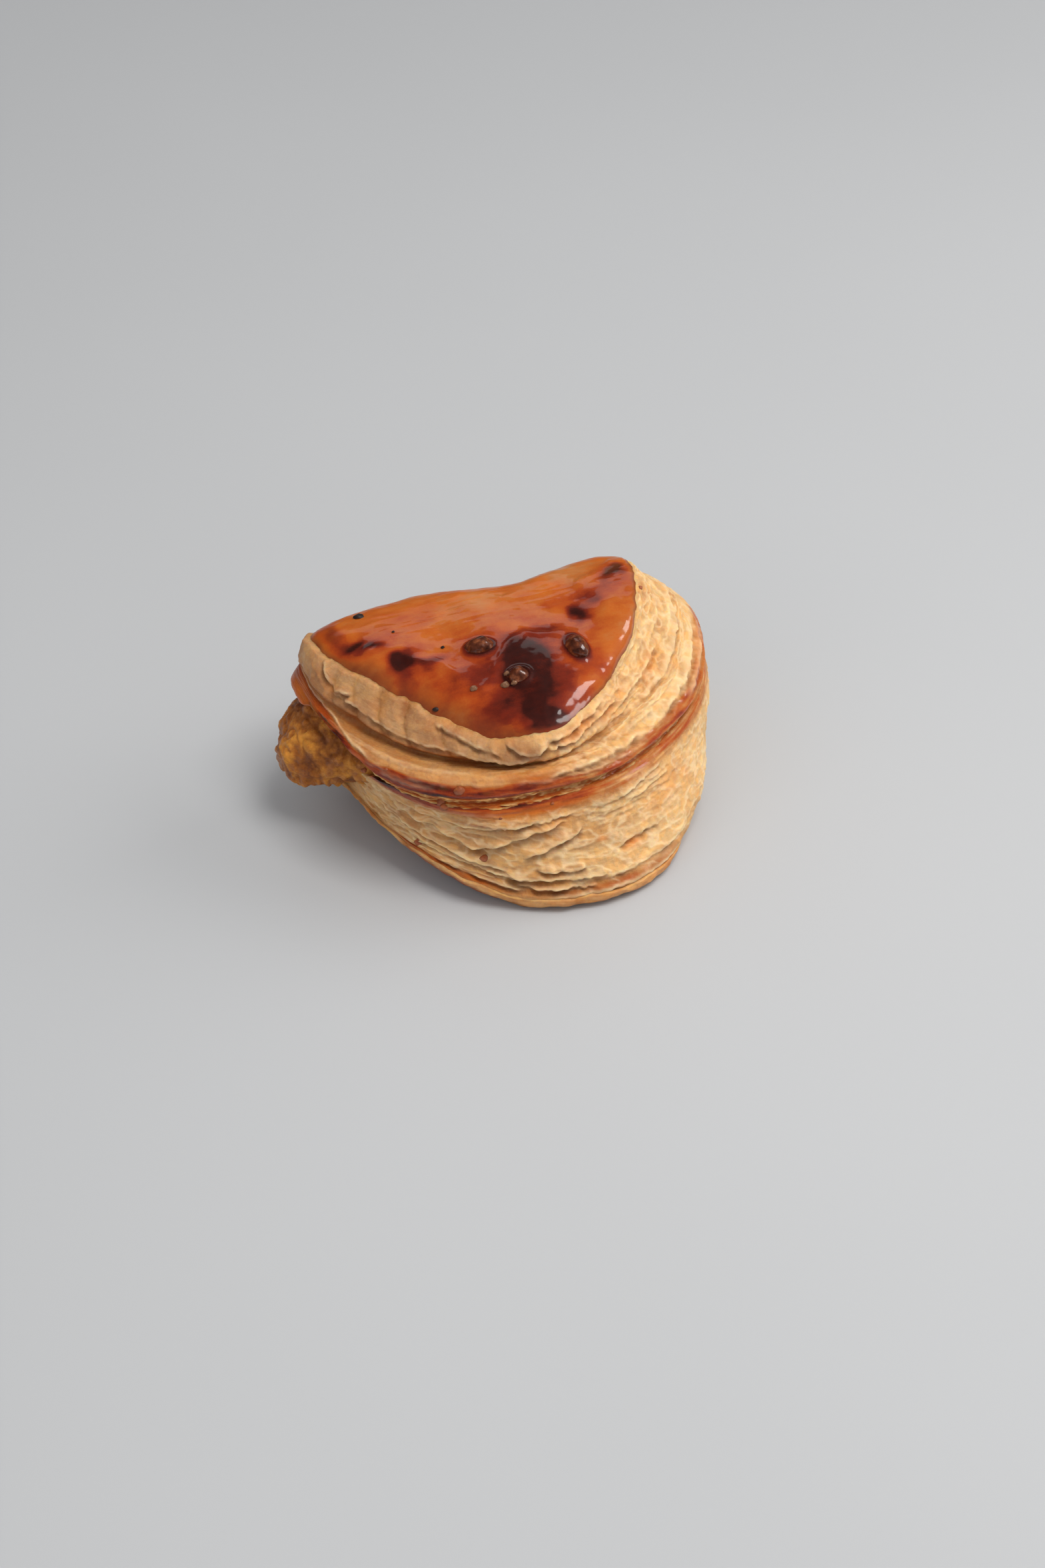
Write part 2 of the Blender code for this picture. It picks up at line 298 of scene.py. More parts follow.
GLAZE_LEVEL, CREASE_LEVEL, GROOVE_LEVEL, BELLY_LEVEL, FOOT_LEVEL, RIM_LEVEL, BASE_LEVEL = 3, 5, 8, 10, 11, 12, 13
CORE = np.array((0.0, -16.0, 0.0))  # the upright line inside the pastry where hidden skins close


def smooth_step(value):
    t = np.clip(value, 0.0, 1.0)
    return t * t * (3.0 - 2.0 * t)


def round_the_ring(values, theta):
    """A smooth closed curve through equally spaced values: cubic Hermite with Catmull-Rom slopes."""
    values = np.asarray(values, float)
    count = len(values)
    place = np.mod(theta, 2.0 * np.pi) / (2.0 * np.pi) * count
    low = np.floor(place).astype(int) % count
    t = place - np.floor(place)
    here, there = values[low], values[(low + 1) % count]
    slope_here = (there - values[low - 1]) / 2.0
    slope_there = (values[(low + 2) % count] - here) / 2.0
    return (
        here * (1 + 2 * t) * (1 - t) ** 2
        + there * t * t * (3 - 2 * t)
        + slope_here * t * (1 - t) ** 2
        - slope_there * t * t * (1 - t)
    )


def curl(x):
    """How far the table side stands off the table: a smooth rise towards the left end."""
    return CURL_HEIGHT * smooth_step((CURL_START - x) / CURL_RUN)


def course_points(course, theta):
    """One closed course: a half-moon from two superellipses, with its height smoothed round it."""
    cosine, sine = np.cos(theta), np.sin(theta)
    reach_x = np.where(cosine > 0, course.right, course.left)
    reach_y = np.where(sine > 0, course.back, course.front)
    to_right = 0.5 + 0.5 * np.clip(cosine / 0.35, -1.0, 1.0)
    blunt = course.blunt_left + (course.blunt_right - course.blunt_left) * to_right
    power = np.where(sine > 0, FOLD_ROUNDNESS, blunt)
    radius = ((np.abs(cosine) / reach_x) ** power + (np.abs(sine) / reach_y) ** power) ** (-1.0 / power)
    x, y = radius * cosine, radius * sine
    x = x + course.slip * np.clip(-y / course.front, 0.0, 1.0)
    return np.stack([x, y, round_the_ring(course.heights, theta) + course.curl * curl(x)], axis=-1)


# Hollows (below 0) and swellings of the dome: place in X and Y, reach in each, height.
SWELLINGS = (
    (-19.5, 12.0, 17.0, 11.0, -1.5),
    (-42.0, 10.0, 9.0, 8.0, -1.8),
    (19.0, 13.0, 10.0, 9.0, -1.2),
    (-43.0, -2.5, 4.0, 3.0, -0.7),
    (-32.0, -13.5, 3.4, 2.6, -0.6),
    (15.0, -14.0, 4.0, 5.0, -0.7),
    (-3.0, -27.0, 9.0, 9.0, 0.8),
    (-18.0, -20.0, 8.0, 6.0, 0.5),
    (24.0, -4.0, 6.0, 4.0, 0.5),
)


def swell(x, y):
    """Soft bumps of the dome: three crossing waves of about 30 mm, and a soft spot for each of the swellings."""
    waves = np.sin(0.21 * x + 0.10 * y + 3.64) + np.sin(-0.12 * x + 0.24 * y + 0.92)
    height = DOME_SWELL * (waves + np.sin(0.17 * x - 0.19 * y + 0.22)) / 3.0
    for at_x, at_y, reach_x, reach_y, rise in SWELLINGS:
        height = height + rise * np.exp(-(((x - at_x) / reach_x) ** 2) - ((y - at_y) / reach_y) ** 2)
    return height


def wobble(theta, z):
    """How far the outline strays outwards, of size 1: waves that change with the height."""
    waves = np.sin(3 * theta + 0.05 * z + 0.4) + np.sin(5 * theta - 0.11 * z + 1.9)
    return (waves + np.sin(8 * theta + 0.2 * z)) / 3.0


def skin(bearing, level):
    """Points of the dough's outside: at each column's bearing a Catmull-Rom section through the courses, read
    at each row's level, then strayed outwards by wobble() at the rim and lifted by swell() on the dome."""
    theta = np.radians(bearing)
    rings = np.array([course_points(course, theta) for course in COURSES])
    rings = np.concatenate([np.broadcast_to((0.0, 0.0, DOME_TOP), rings[:1].shape), rings])
    padded = np.concatenate([2 * rings[:1] - rings[1:2], rings, 2 * rings[-1:] - rings[-2:-1]])
    level = np.clip(np.broadcast_to(level, np.broadcast_shapes(np.shape(level), theta.shape)), 0, len(COURSES))
    low = np.minimum(level.astype(int), len(COURSES) - 1)
    t = (level - low)[..., None]
    columns = np.arange(len(theta))
    before, here, there, after = (padded[low + step, columns] for step in range(4))
    points = (
        here * (1 + 2 * t) * (1 - t) ** 2
        + there * t * t * (3 - 2 * t)
        + (there - before) / 2 * t * (1 - t) ** 2
        - (after - here) / 2 * t * t * (1 - t)
    )
    distance = np.linalg.norm(points[..., :2], axis=-1)
    at_rim = smooth_step((distance - 20.0) / 20.0) * smooth_step(points[..., 2] / 3.0)
    strays = EDGE_WOBBLE * at_rim * wobble(theta, points[..., 2]) / np.maximum(distance, 1.0)
    points[..., :2] += points[..., :2] * strays[..., None]
    points[..., 2] += swell(points[..., 0], points[..., 1]) * smooth_step((points[..., 2] - 38.0) / 8.0)
    return points


def even_bearings(count, back_share=0.5):
    """Bearings spaced evenly along the belly's outline, but wider apart at the fold by 1 / back_share."""
    fine = np.linspace(0.0, 360.0, 3601)
    ring = course_points(COURSES[BELLY_LEVEL - 1], np.radians(fine))
    steps = np.linalg.norm(np.diff(ring, axis=0), axis=-1)
    at_back = smooth_step((ring[1:, 1] + 6.0) / 10.0)
    travelled = np.concatenate([[0.0], np.cumsum(steps * (1.0 - (1.0 - back_share) * at_back))])
    return np.interp(np.arange(count) * travelled[-1] / count, travelled, fine)


FRONT_BEARING = 255.0
fine_levels = np.linspace(0.0, BASE_LEVEL, 1301)
front_section = skin(np.array([FRONT_BEARING]), fine_levels[:, None])[:, 0]
front_depths = np.concatenate([[0.0], np.cumsum(np.linalg.norm(np.diff(front_section, axis=0), axis=-1))])


def depth_of(level):
    """Millimetres down the front section from the top of the dome to this level."""
    return np.interp(level, fine_levels, front_depths)


def level_at(depth):
    return np.interp(depth, front_depths, fine_levels)


def levels_between(first, last, count):
    """Rows evenly spaced in millimetres of the front section between two levels, which may differ by column."""
    share = np.linspace(0.0, 1.0, count)[:, None]
    return level_at(depth_of(first) + (depth_of(last) - depth_of(first)) * share)


def round_bearings(table, bearing):
    """A value given at some bearings, in a smooth closed curve through them: smooth steps between neighbours."""
    at, value = (np.array(column, float) for column in zip(*table))
    at = np.concatenate([at, [at[0] + 360.0]])
    value = np.concatenate([value, value[:1]])
    turned = np.mod(bearing - at[0], 360.0) + at[0]
    low = np.clip(np.searchsorted(at, turned, side="right") - 1, 0, len(at) - 2)
    return value[low] + (value[low + 1] - value[low]) * smooth_step((turned - at[low]) / (at[low + 1] - at[low]))


def from_left(bearing):
    """The bearing counted from the fold's left part over the front, so that it runs on past the right end."""
    return np.mod(bearing - 100.0, 360.0) + 100.0


def pattern_place(bearing, level):
    """Where a pattern that follows the leaves is read: the belly's outline at this bearing, and the depth."""
    ring = course_points(COURSES[BELLY_LEVEL - 1], np.radians(bearing))[:, :2]
    level = np.broadcast_to(level, np.broadcast_shapes(np.shape(level), bearing.shape))
    flat = np.broadcast_to(ring, (*level.shape, 2))
    return np.concatenate([flat, depth_of(level)[..., None]], axis=-1)


def hashed(cell, seed):
    """A number of -1 to 1 for each whole-number cell, the same on every run."""
    x, y, z = (cell[..., i].astype(np.int64) for i in range(3))
    mixed = (x * 73856093) ^ (y * 19349663) ^ (z * 83492791) ^ (seed * 97531)
    mixed = (mixed ^ (mixed >> 13)) * 1274126177 & 0x7FFFFFFF
    mixed = (mixed ^ (mixed >> 15)) * 668265263 & 0x7FFFFFFF
    return (mixed >> 7 & 0xFFFF) / 32767.5 - 1.0


def rough(points, size, seed, octaves=1):
    """Gradient noise of about -1 to 1 with lumps of this size (one number, or one for each axis): at each corner
    of a lattice a random slope, blended by a quintic of the distance, plus octaves of half the size and height."""
    place = np.asarray(points) / size
    total, height = 0.0, 1.0
    for octave in range(octaves):
        low = np.floor(place)
        part = place - low
        fade = part**3 * (part * (6.0 * part - 15.0) + 10.0)
        value = 0.0
        for corner in product((0.0, 1.0), repeat=3):
            corner = np.array(corner)
            slope = np.stack([hashed(low + corner, seed + 31 * octave + axis) for axis in range(3)], axis=-1)
            share = np.prod(np.where(corner == 1.0, fade, 1.0 - fade), axis=-1)
            value = value + share * ((part - corner) * slope).sum(axis=-1)
        total = total + 1.5 * height * value
        place = place * 2.03 + 17.3
        height *= 0.5
    return total


def ridged(points, size, seed):
    """Noise of about -0.5 to 0.5 with sharp crests, like the torn edges of soft leaves."""
    return 0.5 - np.abs(rough(points, size, seed, 3))


def outward(rows):
    """Unit normals of a grid of points that is closed round the axis: down the rows crossed with round them."""
    down = np.gradient(rows, axis=0)
    around = np.roll(rows, -1, axis=1) - np.roll(rows, 1, axis=1)
    normal = np.cross(down, around)
    return normal / np.maximum(np.linalg.norm(normal, axis=-1, keepdims=True), 1e-9)


Leaf = namedtuple("Leaf", "first last levels lift pocket height")


def leaf_step(leaf, bearing, level, seed):
    """The relief and the marks of one leaf that sticks out of a wall, all in millimetres of the front section.

    Above its edge the wall rises by lift over 3 mm. Below it, within half a millimetre, it drops to -pocket,
    and comes back over height. The edge runs through the levels, evenly spaced in bearing, and frays by noise.
    Returns the relief, the pale mark of the edge (partly its whitish colour, partly a painted highlight) and the
    painted shade of the pocket, at each point."""
    turned = np.mod(bearing - leaf.first, 360.0)
    share = turned / np.mod(leaf.last - leaf.first, 360.0)
    edge = depth_of(np.interp(share, np.linspace(0.0, 1.0, len(leaf.levels)), leaf.levels))
    place = pattern_place(bearing, 0.0 * bearing)
    edge = edge + 0.35 * rough(place, 1.7, seed, 2) + 0.6 * rough(place, 5.0, seed + 5)
    below = depth_of(level) - edge
    here = smooth_step(share / 0.12) * smooth_step((1.0 - share) / 0.12) * (share < 1.0)
    here = here * np.clip(0.8 + 0.7 * rough(place, 4.0, seed + 9), 0.0, 1.3)
    rise = smooth_step(1.0 + below / 3.0)
    drop = smooth_step(below / 0.8)
    back = 1.0 - smooth_step((below - 0.8) / leaf.height)
    relief = here * (leaf.lift * rise * (1.0 - drop) - leaf.pocket * drop * back)
    pale = here * smooth_step(1.0 + below / 1.1) * (1.0 - drop) * min(1.0, leaf.lift / 0.5)
    shade = here * drop * back * min(1.0, leaf.pocket / 0.9)
    return relief, pale, shade


def leaves_relief(leaves, bearing, level, seed):
    """All of a wall's leaves: their reliefs added, and the strongest of their pale marks (partly painted highlight) and
    painted shade.
    """
    relief = pale = shade = np.zeros(np.broadcast_shapes(np.shape(level), bearing.shape))
    for number, leaf in enumerate(leaves):
        one, light, dark = leaf_step(leaf, bearing, level, seed + 17 * number)
        relief, pale, shade = relief + one, np.maximum(pale, light), np.maximum(shade, dark)
    return relief, pale, shade


def scattered_leaves(count, bearings, levels, spans, lifts, pockets, heights, seed):
    """Leaves strewn at random over a band of bearings and levels, each edge wandering a little."""
    draw = np.random.default_rng(seed)
    made = []
    for _ in range(count):
        first, span, start = draw.uniform(*bearings), draw.uniform(*spans), draw.uniform(*levels)
        path = start + np.cumsum(draw.normal(0.0, 0.035, 5))
        made.append(Leaf(first, first + span, tuple(path), draw.uniform(*lifts), draw.uniform(*pockets), draw.uniform(*heights)))
    return made


def pushed_in(points, inset):
    """Points pushed level towards the core by these millimetres, but at most six tenths of the way."""
    way = (CORE - points) * (1, 1, 0)
    reach = np.linalg.norm(way, axis=-1, keepdims=True)
    return points + way / reach * np.minimum(inset, 0.6 * reach)


def towards_core(rows, insets, rises):
    """More rows that carry the last row in towards the core by these millimetres, and up by those."""
    added = [pushed_in(rows[-1], inset) + (0, 0, rise) for inset, rise in zip(insets, rises)]
    return np.concatenate([rows, np.array(added)])


def sewn(rows):
    """The points and faces of a closed skin: rows of points sewn into quads, and a fan at either end."""
    count, around = rows.shape[:2]
    points = np.concatenate([rows[:1].mean(axis=1), rows.reshape(-1, 3), rows[-1:].mean(axis=1)])
    index = 1 + np.arange(count * around).reshape(count, around)
    after = np.roll(index, -1, axis=1)
    quads = np.stack([index[:-1], index[1:], after[1:], after[:-1]], axis=-1).reshape(-1, 4)
    first = np.stack([np.zeros(around, int), index[0], after[0]], axis=-1)
    last = np.stack([after[-1], index[-1], np.full(around, len(points) - 1)], axis=-1)
    return points, [*first.tolist(), *quads.tolist(), *last.tolist()]


def add_piece(name, points, faces, fields):
    """A smooth mesh object, whose fields (a number or a vector for each point) are kept for its material."""
    mesh = bpy.data.meshes.new(name)
    mesh.from_pydata(((points + AXIS) * MM).tolist(), [], faces)
    mesh.shade_smooth()
    for key, field in fields.items():
        kind, slot = ("FLOAT_VECTOR", "vector") if field.ndim == 2 else ("FLOAT", "value")
        mesh.attributes.new(key, kind, "POINT").data.foreach_set(slot, field.astype(np.float32).ravel())
    piece = bpy.data.objects.new(name, mesh)
    bpy.context.scene.collection.objects.link(piece)
    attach(piece, "root")
    return piece


def shell(name, rows, **fields):
    """A piece of one closed skin. Its fields have a value for every point of the rows."""
    flat = {key: field.reshape(rows.shape[0] * rows.shape[1], *field.shape[2:]) for key, field in fields.items()}
    return add_piece(name, *sewn(rows), {key: np.concatenate([f[:1], f, f[-1:]]) for key, f in flat.items()})


# Dough from raw cream to burnt, by how far it has baked; the same field also carries painted light and shade.
BAKING = (
    (0.00, linear(232, 202, 150)),
    (0.14, linear(217, 176, 121)),
    (0.28, linear(197, 147, 95)),
    (0.40, linear(172, 110, 58)),
    (0.50, linear(176, 88, 24)),
    (0.60, linear(160, 60, 9)),
    (0.72, linear(118, 32, 8)),
    (0.86, linear(60, 15, 7)),
    (1.00, linear(24, 10, 8)),
)
AMBER = linear(228, 134, 38)


def dough_finish(name, streak):
    """Baked dough: the colour is picked by how far it has baked, with painted light and shade added to that field,
    streaked along the leaves by fine noise, paler where the field pale is (whitish leaf edges with a painted highlight
    on them), with painted shade in brown where the field shade is, deep yellow where thin leaves let the light through
    (amber), with translucent patches and a fine-grained fibrous bump."""
    finish = Finish(name, Subsurface_Weight=0.55, Subsurface_Scale=0.0022, Subsurface_Radius=(1.0, 0.5, 0.22), Coat_Roughness=0.16)
    finish.shader.inputs["Specular IOR Level"].default_value = 0.4
    place = finish.attribute("place", "Vector")
    broad = finish.noise(place, 7.0, detail=2.0)
    long_streaks = finish.noise(finish.stretched(place, 3.0, 3.0, 0.5), 2.2, detail=5.0)
    specks = finish.noise(place, 0.9, detail=4.0, roughness=0.7)
    bake = finish.attribute("bake") + (broad - 0.5) * 0.14 + (long_streaks - 0.5) * streak + (specks - 0.5) * 0.16
    colour = finish.node("ValToRGB", {"stops": BAKING}, (bake.clamped(),))
    windows = finish.noise(place, 3.4, detail=5.0, roughness=0.6).step(0.46, 0.56)
    colour = finish.mix(windows * 1.2 * (0.5 - finish.attribute("bake")).clamped(), colour, linear(247, 184, 100))
    # Painted highlight: the pale field lightens leaf edges and crests, partly their own whitish colour.
    colour = finish.mix(finish.attribute("pale") * 0.6, colour, linear(244, 220, 176))
    # Painted shade: the shade field browns the pockets, the crease, the grooves of the pleats and the band turned from
    # the light.
    colour = finish.mix(finish.attribute("shade") * (0.35 + 0.5 * specks), colour, linear(118, 64, 34))
    finish.paint("Base Color", finish.mix(finish.attribute("amber") * (0.3 + 0.9 * long_streaks), colour, AMBER))
    fibres = finish.noise(finish.stretched(place, 2.0, 2.0, 0.7), 0.8, detail=5.0, roughness=0.65)
    finish.paint("Normal", finish.bump(fibres - 0.25 * windows, 0.5, 0.5))
    finish.paint("Roughness", 0.36 + 0.35 * specks)
    finish.paint("Coat Weight", (finish.attribute("bake").step(0.40, 0.52) * 0.45 + windows * 0.2).clamped())
    return finish


def spread(field, before, after):
    """A wall's field carried on over the hidden rows before and after it."""
    return np.concatenate([np.repeat(field[:1], before, axis=0), field, np.repeat(field[-1:], after, axis=0)])


def dough_piece(name, rows, before, place, streak, **marks):
    """A shell of dough: the visible rows, which start after the hidden ones before them, carry the marks."""
    after = len(rows) - before - len(place)
    fields = {key: spread(field, before, after) for key, field in marks.items()}
    piece = shell(name, rows, place=spread(place, before, after) * MM, **fields)
    piece.data.materials.append(dough_finish(name.replace("_", " "), streak).material)
    return piece


def terraced(value, step):
    """A smooth field cut into flat shelves of this height, as where leaves have torn away one above another.
    Returns the shelves, and how near each point is to the upper and to the lower side of a shelf's edge, where the
    walls paint a highlight above and shade below."""
    part = value / step - np.floor(value / step)
    shelf = step * (np.floor(value / step) + smooth_step((part - 0.38) / 0.24))
    above, below = np.exp(-(((part - 0.66) / 0.1) ** 2)), np.exp(-(((part - 0.33) / 0.1) ** 2))
    return 0.85 * shelf + 0.15 * value, above, below


def spots(table, bearing, level):
    """The sum of soft spots, each a bearing, a level, its reach in each and its height."""
    total = np.zeros(np.broadcast_shapes(np.shape(level), bearing.shape))
    for at_bearing, at_level, reach_bearing, reach_level, height in table:
        turned = np.mod(bearing - at_bearing + 180.0, 360.0) - 180.0
        total = total + height * np.exp(-((turned / reach_bearing) ** 2) - ((level - at_level) / reach_level) ** 2)
    return total


BEARINGS = 640
LOWER_LIP = (
    (0, 8.45), (30, 8.6), (150, 9.0), (170, 10.4), (190, 10.45), (198, 10.1), (205, 9.55), (212, 8.9), (220, 8.55),
    (235, 8.45), (300, 8.45),
)
UNDER_FOLD = ((16, 0), (26, 1), (150, 1), (164, 0), (200, 0), (300, 0))  # where the outer skin covers the leaves
FOLD_SKIN = 1.4  # how far the leaves keep back under it

LOWER_LEAVES = (
    Leaf(214, 266, (9.8, 9.9, 10.0, 10.2, 10.36, 10.15, 9.88, 9.72, 9.6), 1.7, 1.9, 3.4),
    Leaf(218, 262, (9.62, 9.6, 9.66, 9.72, 9.62, 9.55, 9.5), 0.7, 0.9, 1.2),
    Leaf(240, 268, (9.5, 9.52, 9.5, 9.42), 0.5, 0.7, 0.9),
    Leaf(208, 250, (10.3, 10.5, 10.62, 10.74, 10.8), 0.6, 0.7, 1.4),
    Leaf(222, 262, (10.9, 10.86, 10.95, 11.02), 0.5, 0.7, 1.2),
    Leaf(252, 269, (10.45, 10.3, 10.1, 9.9), 1.4, 1.2, 2.2),
    Leaf(255, 267, (10.72, 10.78, 10.8, 10.74), 1.4, 1.4, 1.6),
    Leaf(246, 272, (10.98, 11.0, 11.02, 11.05), 1.0, 2.0, 2.2),
    Leaf(249, 269, (11.22, 11.3, 11.34, 11.3), 1.3, 1.8, 1.8),
    Leaf(228, 252, (11.35, 11.3, 11.36), 0.7, 1.0, 1.5),
    Leaf(280, 298, (9.35, 9.3, 9.22, 9.2), 0.5, 0.7, 1.2),
    Leaf(283, 300, (9.6, 9.58, 9.5), 0.4, 0.6, 1.2),
    Leaf(276, 290, (10.55, 10.5, 10.5), 0.5, 1.1, 1.5),
    Leaf(262, 300, (11.12, 11.15, 11.1, 11.05), 0.6, 0.5, 2.0),
    Leaf(255, 330, (11.62, 11.66, 11.6, 11.62, 11.6), 0.5, 0.6, 1.2),
)
LOWER_AMBER = (
    (250, 9.15, 9, 0.22, 0.6), (262, 9.0, 8, 0.15, 0.4), (281, 10.6, 2.6, 0.12, 0.5), (273, 10.3, 1.6, 0.06, 0.8),
    (300, 9.9, 14, 0.5, 0.25), (262, 9.75, 7, 0.3, 0.25),
)
LOWER_BAKE = (
    (214, 8.6, 6, 0.35, 0.22), (244, 9.55, 7, 0.05, 0.3), (278, 11.4, 22, 0.18, 0.10), (236, 10.0, 12, 0.5, 0.05),
    (225, 11.5, 14, 0.3, 0.14), (281, 10.62, 3.4, 0.13, 0.14),
)


def lower_wall():
    """Rows from the core out over the lower lip, down the wall and in under the base, with the leaves' relief."""
    bearing = even_bearings(BEARINGS)
    lip = round_bearings(LOWER_LIP, bearing)
    level = levels_between(lip, np.full(BEARINGS, 12.05), 118)
    wall = skin(bearing, level)
    place = pattern_place(bearing, level)
    small = scattered_leaves(26, (195, 345), (8.9, 11.8), (8, 34), (0.05, 0.25), (0.1, 0.35), (0.6, 1.8), 11)
    relief, pale, shade = leaves_relief((*LOWER_LEAVES, *small), bearing, level, 100)
    torn, above, below = terraced(1.0 * rough(place, (16, 16, 5), 21, 2) + 0.25 * rough(place, (4, 4, 2), 24), 0.85)
    at_front = smooth_step((bearing - 190.0) / 20.0) * smooth_step((378.0 - from_left(bearing)) / 16.0)
    on_wall = at_front * smooth_step((level - 9.0) / 0.4) * (1.0 - smooth_step((level - 11.2) / 0.4))
    plain = smooth_step((bearing - 262.0) / 20.0)
    relief = relief + torn * on_wall * (0.4 - 0.25 * plain) + 0.16 * (1 - 0.6 * plain) * rough(place, (7, 7, 0.8), 22, 2)
    crests = ridged(place, (9, 9, 5), 25)
    relief = relief + on_wall * (0.42 * crests + 0.2 * rough(place, 1.4, 28, 2))
    # Painted highlight on the crests and on the upper lips of the torn shelves, partly the whitish colour of torn
    # leaves; painted shade under the shelves.
    pale = np.maximum(pale, 0.8 * on_wall * smooth_step((crests - 0.32) / 0.16))
    pale, shade = np.maximum(pale, 0.6 * above * on_wall), np.maximum(0.85 * shade, 0.3 * below * on_wall * (1 - 0.7 * plain))
    covered = round_bearings(UNDER_FOLD, bearing)
    relief = relief * (1 - covered) - FOLD_SKIN * covered
    wall = wall + outward(wall) * relief[..., None]
    inside = towards_core(wall[:1], (1.0, 2.2, 4.2, 7.5, 14.0), (-0.2, -0.8, -1.6, -2.4, -3.0))[:0:-1]
    under = towards_core(wall, (3.0,), (1.0,))[-1:]
    return bearing, level, np.concatenate([inside, wall, under]), place, pale, shade


bearing, level, rows, place, pale, shade = lower_wall()
turned = from_left(bearing)
# Painted light: the wall is painted paler (lit_side) where it faces the light at the right.
lit_side = smooth_step((turned - 250.0) / 44.0) * smooth_step((400.0 - turned) / 40.0)
seam_bake = (0.40 - 0.12 * smooth_step((turned - 256.0) / 20.0)) * smooth_step((turned - 200.0) / 12.0)
seam_bake = seam_bake * (1.0 - smooth_step((level - 8.95) / 0.45))
foot_bake = 0.14 * smooth_step((level - 11.15) / 0.35)
bake = 0.25 - 0.09 * lit_side + seam_bake + foot_bake + 0.09 * rough(place, (16, 16, 6), 41, 2)
bake = bake + spots(LOWER_BAKE, bearing, level) + 0.2 * rough(place, (9, 9, 0.9), 42, 3) * smooth_step((9.2 - level) / 0.3)
amber = spots(LOWER_AMBER, bearing, level) + 0.12 * smooth_step(rough(place, (7, 7, 5), 43, 2) * 2.0)
piece = dough_piece("lower_leaves", rows, 5, place, 0.12, bake=bake, pale=pale, shade=shade, amber=amber)
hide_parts("pastry")


# ---- The base crust ------------------------------------------------------------------------------------
# The leaf that lay on the oven tray: harder, thinner and browner than the rest. It covers the underside and
# its ragged edge stands up a little round the foot of the wall.

CRUST_THICKNESS = 0.9


def base_crust():
    """Rows from the ragged top edge, down and round the rim, to the middle of the underside, and back over it."""
    bearing = even_bearings(BEARINGS)
    ring = pattern_place(bearing, 0.0 * bearing)
    edge = 11.80 - 0.12 * rough(ring, 9.0, 51, 3)
    outer_level = levels_between(edge, np.full(BEARINGS, float(BASE_LEVEL)), 26)
    outer = skin(bearing, outer_level)
    place = pattern_place(bearing, outer_level)
    relief = 0.35 + 0.45 * rough(place, (5, 5, 3), 52, 3)
    outer = outer + outward(outer) * relief[..., None] * smooth_step(outer[..., 2:] / 1.5 + 0.3)
    shares = np.array([0.04, 0.1, 0.2, 0.35, 0.55, 0.75, 0.9])[:, None, None]
    under = outer[-1] + (CORE - outer[-1]) * shares
    under[..., 2] = curl(under[..., 0]) + 0.15 * rough(under * (1, 1, 0), 6.0, 53, 2) * (under[..., 0] < CURL_START)
    top = np.stack([outer[0] + (CORE - outer[0]) * (1, 1, 0) * share + (0, 0, rise) for share, rise in ((0.012, 0.2), (0.03, -0.4), (0.3, 0.5))])
    rows = np.concatenate([top[::-1], outer, under])
    rows[..., 2] = np.maximum(rows[..., 2], 0.0)
    return bearing, outer_level, rows, place


bearing, level, rows, place = base_crust()
at_left = smooth_step((258.0 - bearing) / 30.0) * smooth_step((bearing - 208.0) / 20.0)
bake = 0.30 + 0.26 * at_left * smooth_step((level - 11.9) / 0.5) + 0.14 * smooth_step((level - 12.3) / 0.6)
bake = bake + 0.12 * rough(place, (7, 7, 3), 61, 3)
amber = 0.25 * (1 - at_left) * (1.0 - smooth_step((level - 12.3) / 0.4))
hidden = np.zeros_like(bake)
piece = dough_piece("base_crust", rows, 3, place, 0.14, bake=bake, pale=hidden, shade=hidden, amber=amber)


# ---- The filling ---------------------------------------------------------------------------------------
# A moist yellow-brown crumb that fills the pastry and has run out of its left end into a lumpy heap. It is a
# row of rounded sections carried along the fold, roughened by noise.

FILLING_SECTIONS = np.array(
    (
        (34.5, -9.0, 27.0, 4.0, 2.5),
        (20.5, -14.0, 27.5, 16.0, 6.5),
        (0.5, -16.0, 27.0, 22.0, 8.5),
        (-21.5, -14.0, 26.5, 21.0, 9.0),
        (-39.5, -8.0, 26.0, 17.5, 9.0),
        (-48.5, -3.0, 25.2, 16.0, 9.2),
        (-54.0, -1.5, 23.8, 13.0, 9.6),
        (-58.8, -1.0, 20.8, 10.0, 7.6),
        (-61.8, -1.0, 19.4, 5.2, 4.2),
    )
)
FILLING_ROUNDNESS = 2.4


def filling_rows():
    """Superellipse sections, placed and sized by a Catmull-Rom curve through the table, with waves as lumps."""
    place = np.concatenate([np.linspace(0.0, 4.0, 30)[:-1], np.linspace(4.0, 8.0, 110)])
    low = np.minimum(place.astype(int), len(FILLING_SECTIONS) - 2)
    t = (place - low)[:, None]
    table = FILLING_SECTIONS
    padded = np.concatenate([2 * table[:1] - table[1:2], table, 2 * table[-1:] - table[-2:-1]])
    before, here, there, after = (padded[low + step] for step in range(4))
    x, y, z, wide, high = (
        here * (1 + 2 * t) * (1 - t) ** 2
        + there * t * t * (3 - 2 * t)
        + (there - before) / 2 * t * (1 - t) ** 2
        - (after - here) / 2 * t * t * (1 - t)
    ).T[:, :, None]
    phase = np.linspace(0.0, 2.0 * np.pi, 220, endpoint=False)[None]
    cosine, sine = np.cos(phase), np.sin(phase)
    radius = (np.abs(cosine) ** FILLING_ROUNDNESS + np.abs(sine) ** FILLING_ROUNDNESS) ** (-1.0 / FILLING_ROUNDNESS)
    waves = np.sin(3 * phase + 0.24 * x + 0.8) + np.sin(5 * phase - 0.37 * x) + np.sin(2 * phase + 0.6 * x + 2.1)
    radius = radius * (1.0 + waves / 45.0)
    return np.stack([x + 0 * phase, y + wide * radius * cosine, z + high * radius * sine], axis=-1)


